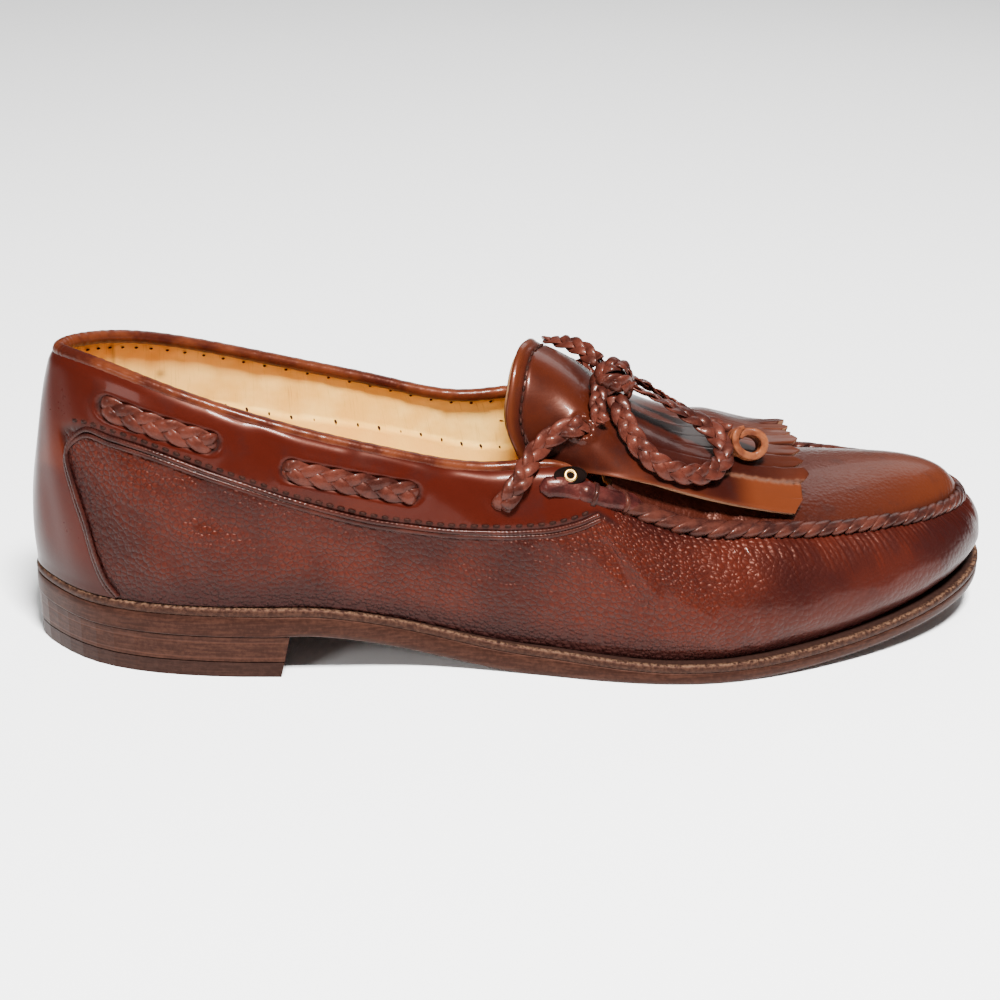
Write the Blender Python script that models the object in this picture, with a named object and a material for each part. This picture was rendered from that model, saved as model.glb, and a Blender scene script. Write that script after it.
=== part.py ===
"""A man's kiltie loafer, the right shoe, with a moccasin upper, a fringed kiltie and a braided lace.

Metres, +Z up, +X to the toe, +Y to the inner side of the foot. The shoe stands on its heel and its tread
at z = 0. The pieces are laid out from the back of the sole, and one empty then brings the middle of their
box to the origin.
"""

import math
from collections import namedtuple

import bpy
import bmesh
import numpy as np

MM = 0.001

# Driving dimensions of the sole
LENGTH = 303 * MM
BALL_WIDTH = 104 * MM
OUTSOLE = 3.8 * MM
WAIST_EXTRA = 2.8 * MM
WAIST_END = 192 * MM
WAIST_FADE = 52 * MM
WELT = 2.6 * MM
WELT_WIDTH = 12.0 * MM
HEEL_RISE = 13.9 * MM
HEEL_BACK_LIFT = 1.2 * MM
HEEL_BACK_REACH = 18 * MM
TOP_LIFT = 5.0 * MM
HEEL_TAPER = 0.6 * MM
BREAST_X = 75 * MM
BREAST_HOLLOW = 3.0 * MM
BREAST_RAKE = 2.5 * MM
BREAST_MARGIN = 8 * MM
SEAT_INSET = 0.2 * MM
BOTTOM_EDGE = 0.5 * MM
WELT_EDGE = 0.8 * MM
ARCH_START = 76 * MM
ARCH_END = 149 * MM
SPRING_START = 198 * MM
TOE_SPRING = 12.3 * MM

# Driving dimensions of the upper
BACK_HEIGHT = 94 * MM
CROWN_HEIGHT = 17 * MM
WALL = 2.0 * MM
ROLL = 4.0 * MM
LEDGE = 5.5 * MM
SWELL = 9.0 * MM
SEAM_BEAD = 1.8 * MM
SEAM_END_BEAD = 2.6 * MM
INSOLE_ABOVE_WELT = 2.4 * MM

# Driving dimensions of the tongue, the kiltie and the lace
KILTIE = 1.8 * MM
TONGUE = 1.5 * MM
LACE_WIDTH = 6.2 * MM
LACE_THICK = 2.8 * MM
STRAP_END = 0.7
EYELET_RADIUS = 2.2 * MM
EYELET_WIRE = 0.65 * MM
GAP = 0.35 * MM

# The wall's curve from the welt to the top: where its two handles stand, as shares of its height, and how
# far the upper handle leans in to the top
LOWER_HANDLE = 0.30
UPPER_HANDLE = 0.80
UPPER_LEAN = 0.38
PLUG_ARCH_DEG = 52
SEAM_END_REACH = 1.8
SEAM_END_FADE = 0.8
COLLAR_FADE = 1.5
ROLL_START = 0.86
ROLL_CREST = 0.42

# The tongue follows the kiltie at a share of its width, then dips under the plug in front of the throat
TONGUE_END = 0.600
TONGUE_WIDTH = 0.87
TONGUE_DIP_START = 12 * MM
TONGUE_DIP = 14 * MM

# How finely the faceted solids are cut
STEPS_PER_STATION = 3
WALL_LEVELS = [0, 0.12, 0.27, 0.43, 0.58, 0.72, 0.85, 0.95, 1]
LINING_LEVELS = [0, 0.2, 0.43, 0.65, 0.85, 0.94]
PLUG_STEPS = 12
KILTIE_ROWS = 8
TONGUE_ROWS = 8
TONGUE_COLUMNS = 12
HEEL_COLUMNS = 6
PASS_STEPS = 8
CROSSING_STEPS = 3
STRAP_SIDES = 10
RING_STEPS = 16
WIRE_SIDES = 6

# One row for each station round the last, from the heel's back to the toe. Each x is a share of LENGTH, each
# half width of BALL_WIDTH to the outer and the inner side, top_z of BACK_HEIGHT, ledge of LEDGE, swell and
# shoulder of SWELL, crown of CROWN_HEIGHT. The top is the topline up to the throat and the moccasin seam
# after it.
Station = namedtuple(
    "Station",
    "sole_x sole_out sole_in top_x top_out top_in top_z ledge swell shoulder crown",
)
STATIONS = [
    Station(0.000, 0.000, 0.000, 0.030, 0.000, 0.000, 0.988, 0.20, 0.30, -0.10, 0.00),
    Station(0.020, 0.120, 0.120, 0.040, 0.056, 0.056, 0.990, 0.20, 0.30, -0.10, 0.00),
    Station(0.059, 0.230, 0.227, 0.074, 0.132, 0.130, 0.977, 0.22, 0.30, -0.05, 0.00),
    Station(0.119, 0.308, 0.294, 0.125, 0.212, 0.204, 0.938, 0.25, 0.32, 0.05, 0.00),
    Station(0.198, 0.353, 0.318, 0.195, 0.271, 0.258, 0.872, 0.30, 0.36, 0.15, 0.00),
    Station(0.290, 0.368, 0.306, 0.277, 0.303, 0.286, 0.798, 0.35, 0.42, 0.30, 0.00),
    Station(0.383, 0.360, 0.287, 0.360, 0.312, 0.293, 0.730, 0.42, 0.52, 0.45, 0.00),
    Station(0.469, 0.398, 0.301, 0.442, 0.304, 0.283, 0.680, 0.52, 0.62, 0.55, 0.00),
    Station(0.541, 0.458, 0.344, 0.515, 0.318, 0.297, 0.685, 0.62, 0.72, 0.62, 1.20),
    Station(0.607, 0.500, 0.404, 0.563, 0.342, 0.318, 0.586, 0.70, 0.80, 0.68, 1.22),
    Station(0.673, 0.512, 0.462, 0.640, 0.347, 0.338, 0.476, 0.76, 0.86, 0.72, 0.94),
    Station(0.739, 0.486, 0.490, 0.710, 0.329, 0.338, 0.446, 0.82, 0.90, 0.76, 0.73),
    Station(0.802, 0.438, 0.487, 0.772, 0.298, 0.327, 0.420, 0.88, 0.94, 0.80, 0.53),
    Station(0.858, 0.383, 0.460, 0.828, 0.267, 0.306, 0.414, 0.96, 0.96, 0.84, 0.47),
    Station(0.911, 0.313, 0.404, 0.881, 0.219, 0.267, 0.407, 1.06, 0.98, 0.86, 0.54),
    Station(0.954, 0.229, 0.322, 0.922, 0.162, 0.209, 0.402, 1.14, 0.98, 0.86, 0.55),
    Station(0.987, 0.115, 0.197, 0.957, 0.079, 0.118, 0.397, 1.18, 0.98, 0.86, 0.34),
    Station(1.000, -0.038, 0.038, 0.971, -0.022, 0.022, 0.393, 1.20, 0.98, 0.86, 0.00),
]
TOE = len(STATIONS) - 1
ROUND = 2 * TOE
THROAT = 9

# The kiltie's sections from its rim at the throat to its fringe's tips: x as a share of LENGTH, the half
# widths of BALL_WIDTH, the heights of BACK_HEIGHT, and how far round its arch each section goes.
KiltieSection = namedtuple("KiltieSection", "x out_y in_y edge_z ridge_z arch_deg")
KILTIE_SECTIONS = [
    KiltieSection(0.460, 0.245, 0.215, 0.640, 1.010, 84),
    KiltieSection(0.485, 0.250, 0.222, 0.640, 0.992, 84),
    KiltieSection(0.510, 0.262, 0.240, 0.645, 0.957, 82),
    KiltieSection(0.545, 0.314, 0.294, 0.656, 0.888, 78),
    KiltieSection(0.590, 0.335, 0.316, 0.635, 0.782, 64),
    KiltieSection(0.645, 0.335, 0.330, 0.585, 0.702, 52),
    KiltieSection(0.700, 0.318, 0.322, 0.527, 0.672, 50),
    KiltieSection(0.750, 0.288, 0.302, 0.481, 0.636, 50),
    KiltieSection(0.778, 0.268, 0.288, 0.463, 0.630, 50),
]

# The rim's line round the arch: share of the half arch from the ridge, outer side negative, and its x as a
# share of LENGTH.
RimPoint = namedtuple("RimPoint", "round x")
RIM = [
    RimPoint(-1.00, 0.480),
    RimPoint(-0.75, 0.463),
    RimPoint(-0.50, 0.467),
    RimPoint(-0.22, 0.478),
    RimPoint(0.05, 0.494),
    RimPoint(0.30, 0.500),
    RimPoint(0.60, 0.498),
    RimPoint(1.00, 0.505),
]
FRINGE_TEETH = 14
TOOTH_DEPTH = 4.5 * MM
FRINGE_SIDE_CUT = 0.035

# The lace's stretches in the collar's windows, and its crossing to the kiltie: x as a share of LENGTH, z of
# BACK_HEIGHT, and lift of LACE_THICK off the surface that it lies on.
LacePass = namedtuple("LacePass", "name x_rear z_rear x_front z_front")
LACE_PASSES = [
    LacePass("rear", 0.082, 0.862, 0.176, 0.788),
    LacePass("front", 0.252, 0.706, 0.365, 0.624),
]
CrossingPoint = namedtuple("CrossingPoint", "on x z lift")
LACE_CROSSING = [
    CrossingPoint("wall", 0.455, 0.585, 0.25),
    CrossingPoint("wall", 0.470, 0.640, 1.00),
    CrossingPoint("kiltie", 0.494, 0.725, 1.20),
    CrossingPoint("kiltie", 0.515, 0.765, 0.50),
    CrossingPoint("kiltie", 0.533, 0.785, 0.20),
]

# What differs from side to side: the crossing on the inner side starts further forward, and so does its
# eyelet, which stands a number of gaps off the curved wall.
Side = namedtuple("Side", "label sign crossing_shift eyelet_x eyelet_z eyelet_gaps")
SIDES = [
    Side("lateral", -1, 0.0, 0.520, 0.662, 3.0),
    Side("medial", 1, 0.034, 0.540, 0.585, 1.4),
]

# Plain colours of the materials
OUTSOLE_COLOUR = (0.10, 0.045, 0.03)
WELT_COLOUR = (0.16, 0.07, 0.045)
LIFT_COLOUR = (0.09, 0.045, 0.03)
HEEL_COLOUR = (0.13, 0.06, 0.035)
INSOLE_COLOUR = (0.78, 0.56, 0.30)
UPPER_COLOUR = (0.19, 0.045, 0.03)
KILTIE_COLOUR = (0.20, 0.06, 0.04)
TONGUE_COLOUR = (0.45, 0.27, 0.13)
LACE_COLOUR = (0.24, 0.09, 0.065)
CURL_COLOUR = (0.42, 0.20, 0.12)
BRASS_COLOUR = (0.62, 0.45, 0.18)

# The bow's knot and its loops and ends over the kiltie. Each route is a list of places in millimetres.
KNOT_CENTRE = (174.0, -11.0, 83.2)
KNOT_RADII = (5.6, 5.0, 4.8)
CORD_DIAMETER = 4.0 * MM
CORD_SPACING = 2.1
CURL_CENTRE = (216.0, -18.5, 63.8)
CURL_RADIUS = 4.2 * MM
CURL_THICK = 3.4 * MM
LOOP_NEAR = [
    (174.4, -16.6, 79.7),
    (174.9, -21.5, 76.6),
    (176.9, -26.5, 72.5),
    (180.2, -31.0, 68.0),
    (186.0, -33.8, 63.8),
    (193.5, -33.8, 61.2),
    (201.0, -31.2, 60.4),
    (206.3, -26.0, 61.9),
    (207.2, -20.0, 65.2),
    (203.0, -15.8, 69.0),
    (195.5, -14.0, 73.0),
    (187.5, -13.6, 77.5),
    (179.8, -13.3, 81.2),
]
LOOP_FAR = [
    (170.6, -4.6, 86.0),
    (166.8, 1.0, 88.4),
    (162.0, 7.0, 88.6),
    (158.9, 13.0, 87.0),
    (161.3, 18.4, 84.4),
    (167.0, 21.6, 81.8),
    (174.0, 23.4, 77.8),
    (181.0, 23.8, 73.4),
    (187.3, 21.4, 70.7),
    (190.4, 16.0, 70.9),
    (188.0, 10.0, 73.0),
    (182.0, 4.8, 76.4),
    (175.6, -1.6, 80.2),
]
END_LONG = [
    (178.0, -6.1, 81.4),
    (184.5, -3.2, 78.6),
    (191.5, -3.8, 74.6),
    (198.5, -7.2, 71.2),
    (204.5, -11.2, 68.4),
    (210.9, -15.1, 66.1),
]
END_SHORT = [
    (169.2, -15.8, 82.6),
    (168.2, -19.6, 80.9),
    (167.3, -23.4, 78.3),
    (168.3, -26.2, 75.2),
]


class ClosedSpline:
    """A smooth closed curve through evenly numbered rows, one column of values for each quantity."""

    def __init__(self, rows):
        self.rows = np.array(rows, float)
        count = len(self.rows)
        system = np.zeros((count, count))
        for i in range(count):
            system[i, i] = 4
            system[i, (i - 1) % count] = 1
            system[i, (i + 1) % count] = 1
        before = np.roll(self.rows, 1, axis=0)
        after = np.roll(self.rows, -1, axis=0)
        self.bends = np.linalg.solve(system, 6 * (before - 2 * self.rows + after))

    def __call__(self, at):
        count = len(self.rows)
        low = int(math.floor(at))
        t = at - low
        a, b = low % count, (low + 1) % count
        left, right = (1 - t), t
        return (
            left * self.rows[a]
            + right * self.rows[b]
            + (left**3 - left) / 6 * self.bends[a]
            + (right**3 - right) / 6 * self.bends[b]
        )


def smooth_through(knots, values, at):
    """A smooth open curve through rows of values, by Catmull-Rom on uneven knots."""
    knots, values = np.array(knots, float), np.array(values, float)
    slopes = np.gradient(values, knots, axis=0)
    at = min(max(at, knots[0]), knots[-1])
    i = int(min(np.searchsorted(knots, at, side="right") - 1, len(knots) - 2))
    span = knots[i + 1] - knots[i]
    t = (at - knots[i]) / span
    return (
        (2 * t**3 - 3 * t**2 + 1) * values[i]
        + (t**3 - 2 * t**2 + t) * span * slopes[i]
        + (3 * t**2 - 2 * t**3) * values[i + 1]
        + (t**3 - t**2) * span * slopes[i + 1]
    )


def smoothstep(t):
    t = min(max(t, 0.0), 1.0)
    return t * t * (3 - 2 * t)


def unit(vector):
    return vector / np.linalg.norm(vector)


def round_the_last(side_rows):
    """The rows of one side and then of the other, from the heel's back round the toe and back."""
    outer = [side_rows(station, -1) for station in STATIONS]
    inner = [side_rows(station, 1) for station in reversed(STATIONS[1:-1])]
    return outer + inner


def station_values(station, side):
    """One station's columns in metres, on the outer side (-1) or the inner side (1)."""
    sole_y = -station.sole_out if side < 0 else station.sole_in
    top_y = -station.top_out if side < 0 else station.top_in
    return [
        station.sole_x * LENGTH,
        sole_y * BALL_WIDTH,
        station.top_x * LENGTH,
        top_y * BALL_WIDTH,
        station.top_z * BACK_HEIGHT,
        station.ledge * LEDGE,
        station.swell * SWELL,
        station.shoulder * SWELL,
        station.crown * CROWN_HEIGHT,
    ]


LAST = ClosedSpline(round_the_last(station_values))
SOLE_X, SOLE_Y, TOP_X, TOP_Y, TOP_Z, LEDGE_AT, SWELL_AT, SHOULDER_AT, CROWN_AT = range(9)


def outsole_thickness(x):
    """The outsole is a little thicker over the waist and the heel, where its shank is."""
    return OUTSOLE + WAIST_EXTRA * smoothstep((WAIST_END - x) / WAIST_FADE)


def tread_height(x):
    """Height of the outsole's underside: down the arch from the heel, flat at the tread, up the toe."""
    if x < ARCH_END:
        rise = HEEL_RISE * smoothstep((ARCH_END - x) / (ARCH_END - ARCH_START))
        return rise + HEEL_BACK_LIFT * max(0.0, 1 - x / HEEL_BACK_REACH) ** 2
    spring = max(0.0, x - SPRING_START) / (LENGTH - SPRING_START)
    return TOE_SPRING * spring**2


def seat_height(x):
    """Height of the outsole's upper face, which the welt and the insole lie on."""
    return tread_height(x) + outsole_thickness(x)


def outward(at):
    """Horizontal unit normal of the sole's edge, pointing away from the foot."""
    ahead, behind = LAST(at + 0.02), LAST(at - 0.02)
    along = ahead[[SOLE_X, SOLE_Y]] - behind[[SOLE_X, SOLE_Y]]
    return unit(np.array([along[1], -along[0]]))


def sole_edge(at, inset=0.0):
    """Plan point of the sole's edge, moved in by inset."""
    return LAST(at)[[SOLE_X, SOLE_Y]] - outward(at) * inset


def wall_point(at, v):
    """Outer face of the upper's wall: v is 0 at the welt and 1 at the topline or the seam."""
    values = LAST(at)
    normal = np.append(outward(at), 0.0)
    foot_xy = sole_edge(at, values[LEDGE_AT])
    foot_z = seat_height(foot_xy[0]) + WELT + GAP
    foot = np.append(foot_xy, foot_z)
    top = np.array([values[TOP_X], values[TOP_Y], values[TOP_Z]])
    height = top[2] - foot[2]
    lower = foot + normal * values[SWELL_AT] + [0, 0, LOWER_HANDLE * height]
    upper_xy = foot[:2] * (1 - UPPER_LEAN) + top[:2] * UPPER_LEAN
    upper = np.append(upper_xy, foot[2] + UPPER_HANDLE * height) + normal * values[SHOULDER_AT]
    u = 1 - v
    return u**3 * foot + 3 * u * u * v * lower + 3 * u * v * v * upper + v**3 * top


def wall_normal(at, v):
    step = 0.01
    low, high = max(v - step, 0.0), min(v + step, 1.0)
    along = wall_point(at + step, v) - wall_point(at - step, v)
    up = wall_point(at, high) - wall_point(at, low)
    return unit(np.cross(along, up))


def arch_point(left, right, rise, arch_deg, across):
    """A point of a circular arch from left (-1) to right (1) that rises in its middle."""
    reach = math.radians(arch_deg)
    angle = across * reach
    side = math.sin(angle) / math.sin(reach)
    lift = (math.cos(angle) - math.cos(reach)) / (1 - math.cos(reach))
    middle, half = (left + right) / 2, (right - left) / 2
    return middle + half * side + np.array([0, 0, rise * lift])


def seam_bead(at):
    """How far the moccasin seam's ridge stands proud: none on the topline, most at its rear ends."""
    station = at if at <= TOE else ROUND - at
    rear = smoothstep((THROAT + SEAM_END_REACH - station) / SEAM_END_FADE)
    return (1 - collar_share(at)) * (SEAM_BEAD + (SEAM_END_BEAD - SEAM_BEAD) * rear)


def plug_point(station, across):
    """Outer face of the plug after the throat: across is -1 at the outer seam and 1 at the inner."""
    left, right = LAST(station), LAST(ROUND - station)
    crown = 0.5 * (left[CROWN_AT] + right[CROWN_AT])
    a = left[[TOP_X, TOP_Y, TOP_Z]]
    b = right[[TOP_X, TOP_Y, TOP_Z]]
    return arch_point(a, b, crown, PLUG_ARCH_DEG, across)


def plug_normal(station, across):
    step = 0.02
    low, high = max(across - step, -1.0), min(across + step, 1.0)
    rear, front = station - step, min(station + step, TOE - step)
    over = plug_point(station, high) - plug_point(station, low)
    along = plug_point(front, across) - plug_point(min(rear, front - step), across)
    return unit(np.cross(along, over))


def new_object(name, mesh, colour, roughness, metallic=0.0):
    """An object with its own material."""
    obj = bpy.data.objects.new(name, mesh)
    bpy.context.scene.collection.objects.link(obj)
    material = bpy.data.materials.new(name)
    material.use_nodes = True
    shader = material.node_tree.nodes["Principled BSDF"]
    shader.inputs["Base Color"].default_value = (*colour, 1)
    shader.inputs["Roughness"].default_value = roughness
    shader.inputs["Metallic"].default_value = metallic
    obj.data.materials.append(material)
    return obj


class Surface:
    """Collects faces between shared points, then makes one closed mesh of them."""

    def __init__(self):
        self.points = []
        self.faces = []

    def row(self, points):
        start = len(self.points)
        self.points += [tuple(p) for p in points]
        return list(range(start, len(self.points)))

    def bridge(self, a, b, closed=False):
        """Quads between two rows of as many points, or triangles where a row is one point."""
        count = max(len(a), len(b))
        ends = count if closed else count - 1
        for i in range(ends):
            j = (i + 1) % count
            corners = [a[i % len(a)], a[j % len(a)], b[j % len(b)], b[i % len(b)]]
            kept = list(dict.fromkeys(corners))
            if len(kept) > 2:
                self.faces.append(kept)

    def cap(self, loop):
        """Closes a loop that runs heel, outer side, toe, inner side with strips straight across the shoe."""
        half = len(loop) // 2
        for i in range(half):
            far, near = loop[-(i + 1) % len(loop)], loop[-i % len(loop)]
            corners = [loop[i], loop[i + 1], far, near]
            self.faces.append(list(dict.fromkeys(corners)))

    def mesh(self, name, smooth_deg=40):
        """One mesh with its faces turned out, shaded smooth up to its sharp edges."""
        mesh = bpy.data.meshes.new(name)
        mesh.from_pydata(self.points, [], self.faces)
        work = bmesh.new()
        work.from_mesh(mesh)
        bmesh.ops.recalc_face_normals(work, faces=work.faces)
        work.to_mesh(mesh)
        work.free()
        mesh.shade_smooth()
        mesh.set_sharp_from_angle(angle=math.radians(smooth_deg))
        return mesh


def loop_stations():
    return [i / STEPS_PER_STATION for i in range(ROUND * STEPS_PER_STATION)]


def sole_loop(inset, base, lift):
    """The sole's outline moved in by inset, at lift above the height that base gives for each x."""
    plan = [sole_edge(at, inset) for at in loop_stations()]
    return [(x, y, base(x) + lift) for x, y in plan]


def ledge_loop(extra, lift):
    """The upper's foot line moved in by extra, at lift above the outsole's upper face."""
    plan = [sole_edge(at, LAST(at)[LEDGE_AT] + extra) for at in loop_stations()]
    return [(x, y, seat_height(x) + lift) for x, y in plan]


def make_outsole():
    surface = Surface()
    bottom = surface.row(sole_loop(BOTTOM_EDGE, tread_height, 0.0))
    lower = surface.row(sole_loop(0.0, tread_height, BOTTOM_EDGE))
    top = surface.row(sole_loop(0.0, seat_height, 0.0))
    surface.cap(bottom)
    surface.bridge(bottom, lower, closed=True)
    surface.bridge(lower, top, closed=True)
    surface.cap(top)
    new_object("outsole", surface.mesh("outsole"), OUTSOLE_COLOUR, 0.5)


def make_welt():
    surface = Surface()
    edge, inner = WELT_EDGE / 4, WELT_WIDTH
    shoulder = WELT - WELT_EDGE
    profile = [(edge, GAP), (edge, shoulder), (WELT_EDGE, WELT), (inner, WELT), (inner, GAP)]
    rings = [surface.row(sole_loop(inset, seat_height, lift)) for inset, lift in profile]
    for i, ring in enumerate(rings):
        surface.bridge(ring, rings[(i + 1) % len(rings)], closed=True)
    new_object("welt", surface.mesh("welt"), WELT_COLOUR, 0.45)


def make_insole():
    """The insole fills the welt's ring and spreads over it to the upper's wall."""
    surface = Surface()
    inner = WELT_WIDTH + 2 * GAP
    margin = WALL + 2 * GAP
    rings = [
        surface.row(sole_loop(inner, seat_height, GAP)),
        surface.row(sole_loop(inner, seat_height, WELT + GAP)),
        surface.row(ledge_loop(margin, WELT + GAP)),
        surface.row(ledge_loop(margin, WELT + INSOLE_ABOVE_WELT)),
    ]
    surface.cap(rings[0])
    for lower, upper in zip(rings, rings[1:]):
        surface.bridge(lower, upper, closed=True)
    surface.cap(rings[-1])
    new_object("insole", surface.mesh("insole"), INSOLE_COLOUR, 0.55)


def heel_outline(inset, breast_x):
    """Half rows from the heel's back to its hollowed breast, outer side and then inner side."""
    shared = [i / STEPS_PER_STATION for i in range(1, THROAT * STEPS_PER_STATION)]
    shared = [at for at in shared if LAST(at)[SOLE_X] < BREAST_X - BREAST_MARGIN]
    outer = [sole_edge(at, inset) for at in shared]
    inner = [sole_edge(ROUND - at, inset) for at in shared]
    return outer + [breast_end(inset, breast_x, -1)], inner + [breast_end(inset, breast_x, 1)]


def breast_end(inset, breast_x, side):
    """Where the sole's edge passes the breast on one side, by halving the interval."""
    low, high = 1.0, float(THROAT)
    for _ in range(30):
        middle = (low + high) / 2
        at = middle if side < 0 else ROUND - middle
        if sole_edge(at, inset)[0] < breast_x:
            low = middle
        else:
            high = middle
    return sole_edge(low if side < 0 else ROUND - low, inset)


def heel_layer(surface, inset, breast_x, height_at):
    """Rows of one level of the heel: each runs straight across, and the last follows the hollow breast."""
    back = sole_edge(0.0, inset)
    outer, inner = heel_outline(inset, breast_x)
    rows = [surface.row([(back[0], back[1], height_at(back[0]))])]
    for i, (a, b) in enumerate(zip(outer, inner)):
        row = []
        for k in range(HEEL_COLUMNS + 1):
            share = k / HEEL_COLUMNS
            x, y = a * (1 - share) + b * share
            if i >= len(outer) - 2:
                x -= BREAST_HOLLOW * (1 - (2 * share - 1) ** 2)
            row.append((x, y, height_at(x)))
        rows.append(surface.row(row))
    return rows


def close_heel(surface, lower, upper):
    for rows in (lower, upper):
        for a, b in zip(rows, rows[1:]):
            surface.bridge(a, b)
    for side in (0, -1):
        for i in range(len(lower) - 1):
            corners = [lower[i][side], lower[i + 1][side], upper[i + 1][side], upper[i][side]]
            surface.faces.append(list(dict.fromkeys(corners)))
    surface.bridge(lower[-1], upper[-1])


def make_heel():
    """The top lift that meets the ground, and the stacked heel block between it and the outsole."""
    joint_inset = HEEL_TAPER * 0.7
    joint_breast = BREAST_X - BREAST_RAKE * 0.6
    surface = Surface()
    bottom = heel_layer(surface, HEEL_TAPER, BREAST_X - BREAST_RAKE, lambda x: 0.0)
    top = heel_layer(surface, joint_inset, joint_breast, lambda x: TOP_LIFT)
    close_heel(surface, bottom, top)
    new_object("heel_top_lift", surface.mesh("heel_top_lift"), LIFT_COLOUR, 0.6)
    surface = Surface()
    bottom = heel_layer(surface, joint_inset, joint_breast, lambda x: TOP_LIFT + GAP)
    top = heel_layer(surface, SEAT_INSET, BREAST_X, lambda x: tread_height(x) - GAP)
    close_heel(surface, bottom, top)
    new_object("heel_stack", surface.mesh("heel_stack"), HEEL_COLOUR, 0.5)


def collar_share(at):
    """1 along the topline, falling to 0 at the throat's corners."""
    station = at if at <= TOE else ROUND - at
    return smoothstep((THROAT - station) / COLLAR_FADE)


def wall_thickness(at, v):
    return WALL + (ROLL - WALL) * collar_share(at) * smoothstep((v - ROLL_START) / (1 - ROLL_START))


def inner_wall_point(at, v):
    point = wall_point(at, v) - wall_normal(at, v) * wall_thickness(at, v)
    if v == 0:
        point[2] = wall_point(at, 0)[2]
    return point


def seam_normal(at):
    """Between the normals of the wall and of the plug, along the moccasin seam."""
    station = min(max(at if at <= TOE else ROUND - at, THROAT), TOE - 0.3)
    return unit(wall_normal(at, 1.0) + plug_normal(station, -1 if at <= TOE else 1))


def ridge_point(at):
    """The wall's upper edge: the topline itself, or the crest of the seam's ridge."""
    bead = seam_bead(at)
    point = wall_point(at, 1.0)
    return point + seam_normal(at) * bead if bead else point


def make_upper():
    """The whole upper as one hollow wall: open at the topline and throat above and at the insole below."""
    surface = Surface()
    stations = loop_stations()
    outer = [surface.row([wall_point(at, v) for at in stations]) for v in WALL_LEVELS[:-1]]
    outer.append(surface.row([ridge_point(at) for at in stations]))
    inner = [surface.row([inner_wall_point(at, v) for at in stations]) for v in LINING_LEVELS]
    corner = THROAT * STEPS_PER_STATION
    last = len(stations)
    on_collar = [i for i in range(last) if i <= corner or i >= last - corner]
    top_inner = {}
    for i, at in enumerate(stations):
        if i in on_collar:
            top_inner[i] = inner_wall_point(at, 1.0)
            continue
        top_inner[i] = wall_point(at, 1.0) - seam_normal(at) * WALL
    inner.append(surface.row([top_inner[i] for i in range(last)]))
    for rows in (outer, inner):
        for lower, upper in zip(rows, rows[1:]):
            surface.bridge(lower, upper, closed=True)
    surface.bridge(outer[0], inner[0], closed=True)
    roll_over_topline(surface, stations, outer[-1], inner[-1], corner)
    fill_plug(surface, outer[-1], inner[-1], corner)
    new_object("upper", surface.mesh("upper", 50), UPPER_COLOUR, 0.35)


def roll_over_topline(surface, stations, outer, inner, corner):
    """Half-round edge along the topline, from one corner of the throat round the heel to the other."""
    last = len(stations)
    order = list(range(last - corner, last)) + list(range(corner + 1))
    crest = []
    for i in order:
        a, b = np.array(surface.points[outer[i]]), np.array(surface.points[inner[i]])
        lift = np.linalg.norm(b - a) * ROLL_CREST * collar_share(stations[i])
        if i in (corner, last - corner):
            crest.append(None)
            continue
        near, over = a * 0.8 + b * 0.2, a * 0.35 + b * 0.65
        crest.append(surface.row([near + [0, 0, lift * 0.8], over + [0, 0, lift]]))
    for k in range(len(order) - 1):
        i, j = order[k], order[k + 1]
        a = [outer[i]] + (crest[k] or []) + [inner[i]]
        b = [outer[j]] + (crest[k + 1] or []) + [inner[j]]
        if len(a) == len(b):
            surface.bridge(a, b)
        elif len(a) < len(b):
            fan_out(surface, a, b)
        else:
            fan_out(surface, b, a)


def fan_out(surface, narrow, wide):
    """Faces between a row of two points and a row of four."""
    surface.faces.append([narrow[0], wide[0], wide[1]])
    surface.faces.append([narrow[0], wide[1], wide[2]])
    surface.faces.append([narrow[0], wide[2], wide[3], narrow[1]])


def fill_plug(surface, outer, inner, corner):
    """The plug's outer and inner faces between the two seams, and its edge at the throat."""
    last = len(outer)
    tip = TOE * STEPS_PER_STATION
    shares = [-math.cos(math.pi * k / PLUG_STEPS) for k in range(1, PLUG_STEPS)]
    faces = []
    for wall, thickness in ((outer, 0.0), (inner, WALL)):
        rows = []
        for i in range(corner, tip):
            station = i / STEPS_PER_STATION
            middle = surface.row(
                [plug_point(station, s) - plug_normal(station, s) * thickness for s in shares]
            )
            rows.append([wall[i], *middle, wall[last - i]])
        for a, b in zip(rows, rows[1:]):
            surface.bridge(a, b)
        surface.bridge(rows[-1], [wall[tip]])
        faces.append(rows)
    surface.bridge(faces[0][0], faces[1][0])


def kiltie_section(x_share):
    rows = [list(s)[1:] for s in KILTIE_SECTIONS]
    return smooth_through([s.x for s in KILTIE_SECTIONS], rows, x_share)


def kiltie_point(x, across, depth=0.0, spread=0.0):
    """Outer face of the kiltie, moved in by depth and widened by spread: across is -1 to 1."""
    out_y, in_y, edge_z, ridge_z, arch_deg = kiltie_section(x / LENGTH)
    left = np.array([x, -(out_y * BALL_WIDTH + spread), edge_z * BACK_HEIGHT])
    right = np.array([x, in_y * BALL_WIDTH + spread, edge_z * BACK_HEIGHT])
    rise = (ridge_z - edge_z) * BACK_HEIGHT
    point = arch_point(left, right, rise, arch_deg, across)
    if depth:
        point = point - kiltie_normal(x, across) * depth
    return point


def kiltie_normal(x, across):
    step = 0.5 * MM
    low, high = max(across - 0.02, -1.0), min(across + 0.02, 1.0)
    over = kiltie_point(x, high) - kiltie_point(x, low)
    along = kiltie_point(x + step, across) - kiltie_point(x - step, across)
    return unit(np.cross(along, over))


def rim_x(across):
    rows = [[r.x] for r in RIM]
    return smooth_through([r.round for r in RIM], rows, across)[0] * LENGTH


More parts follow.
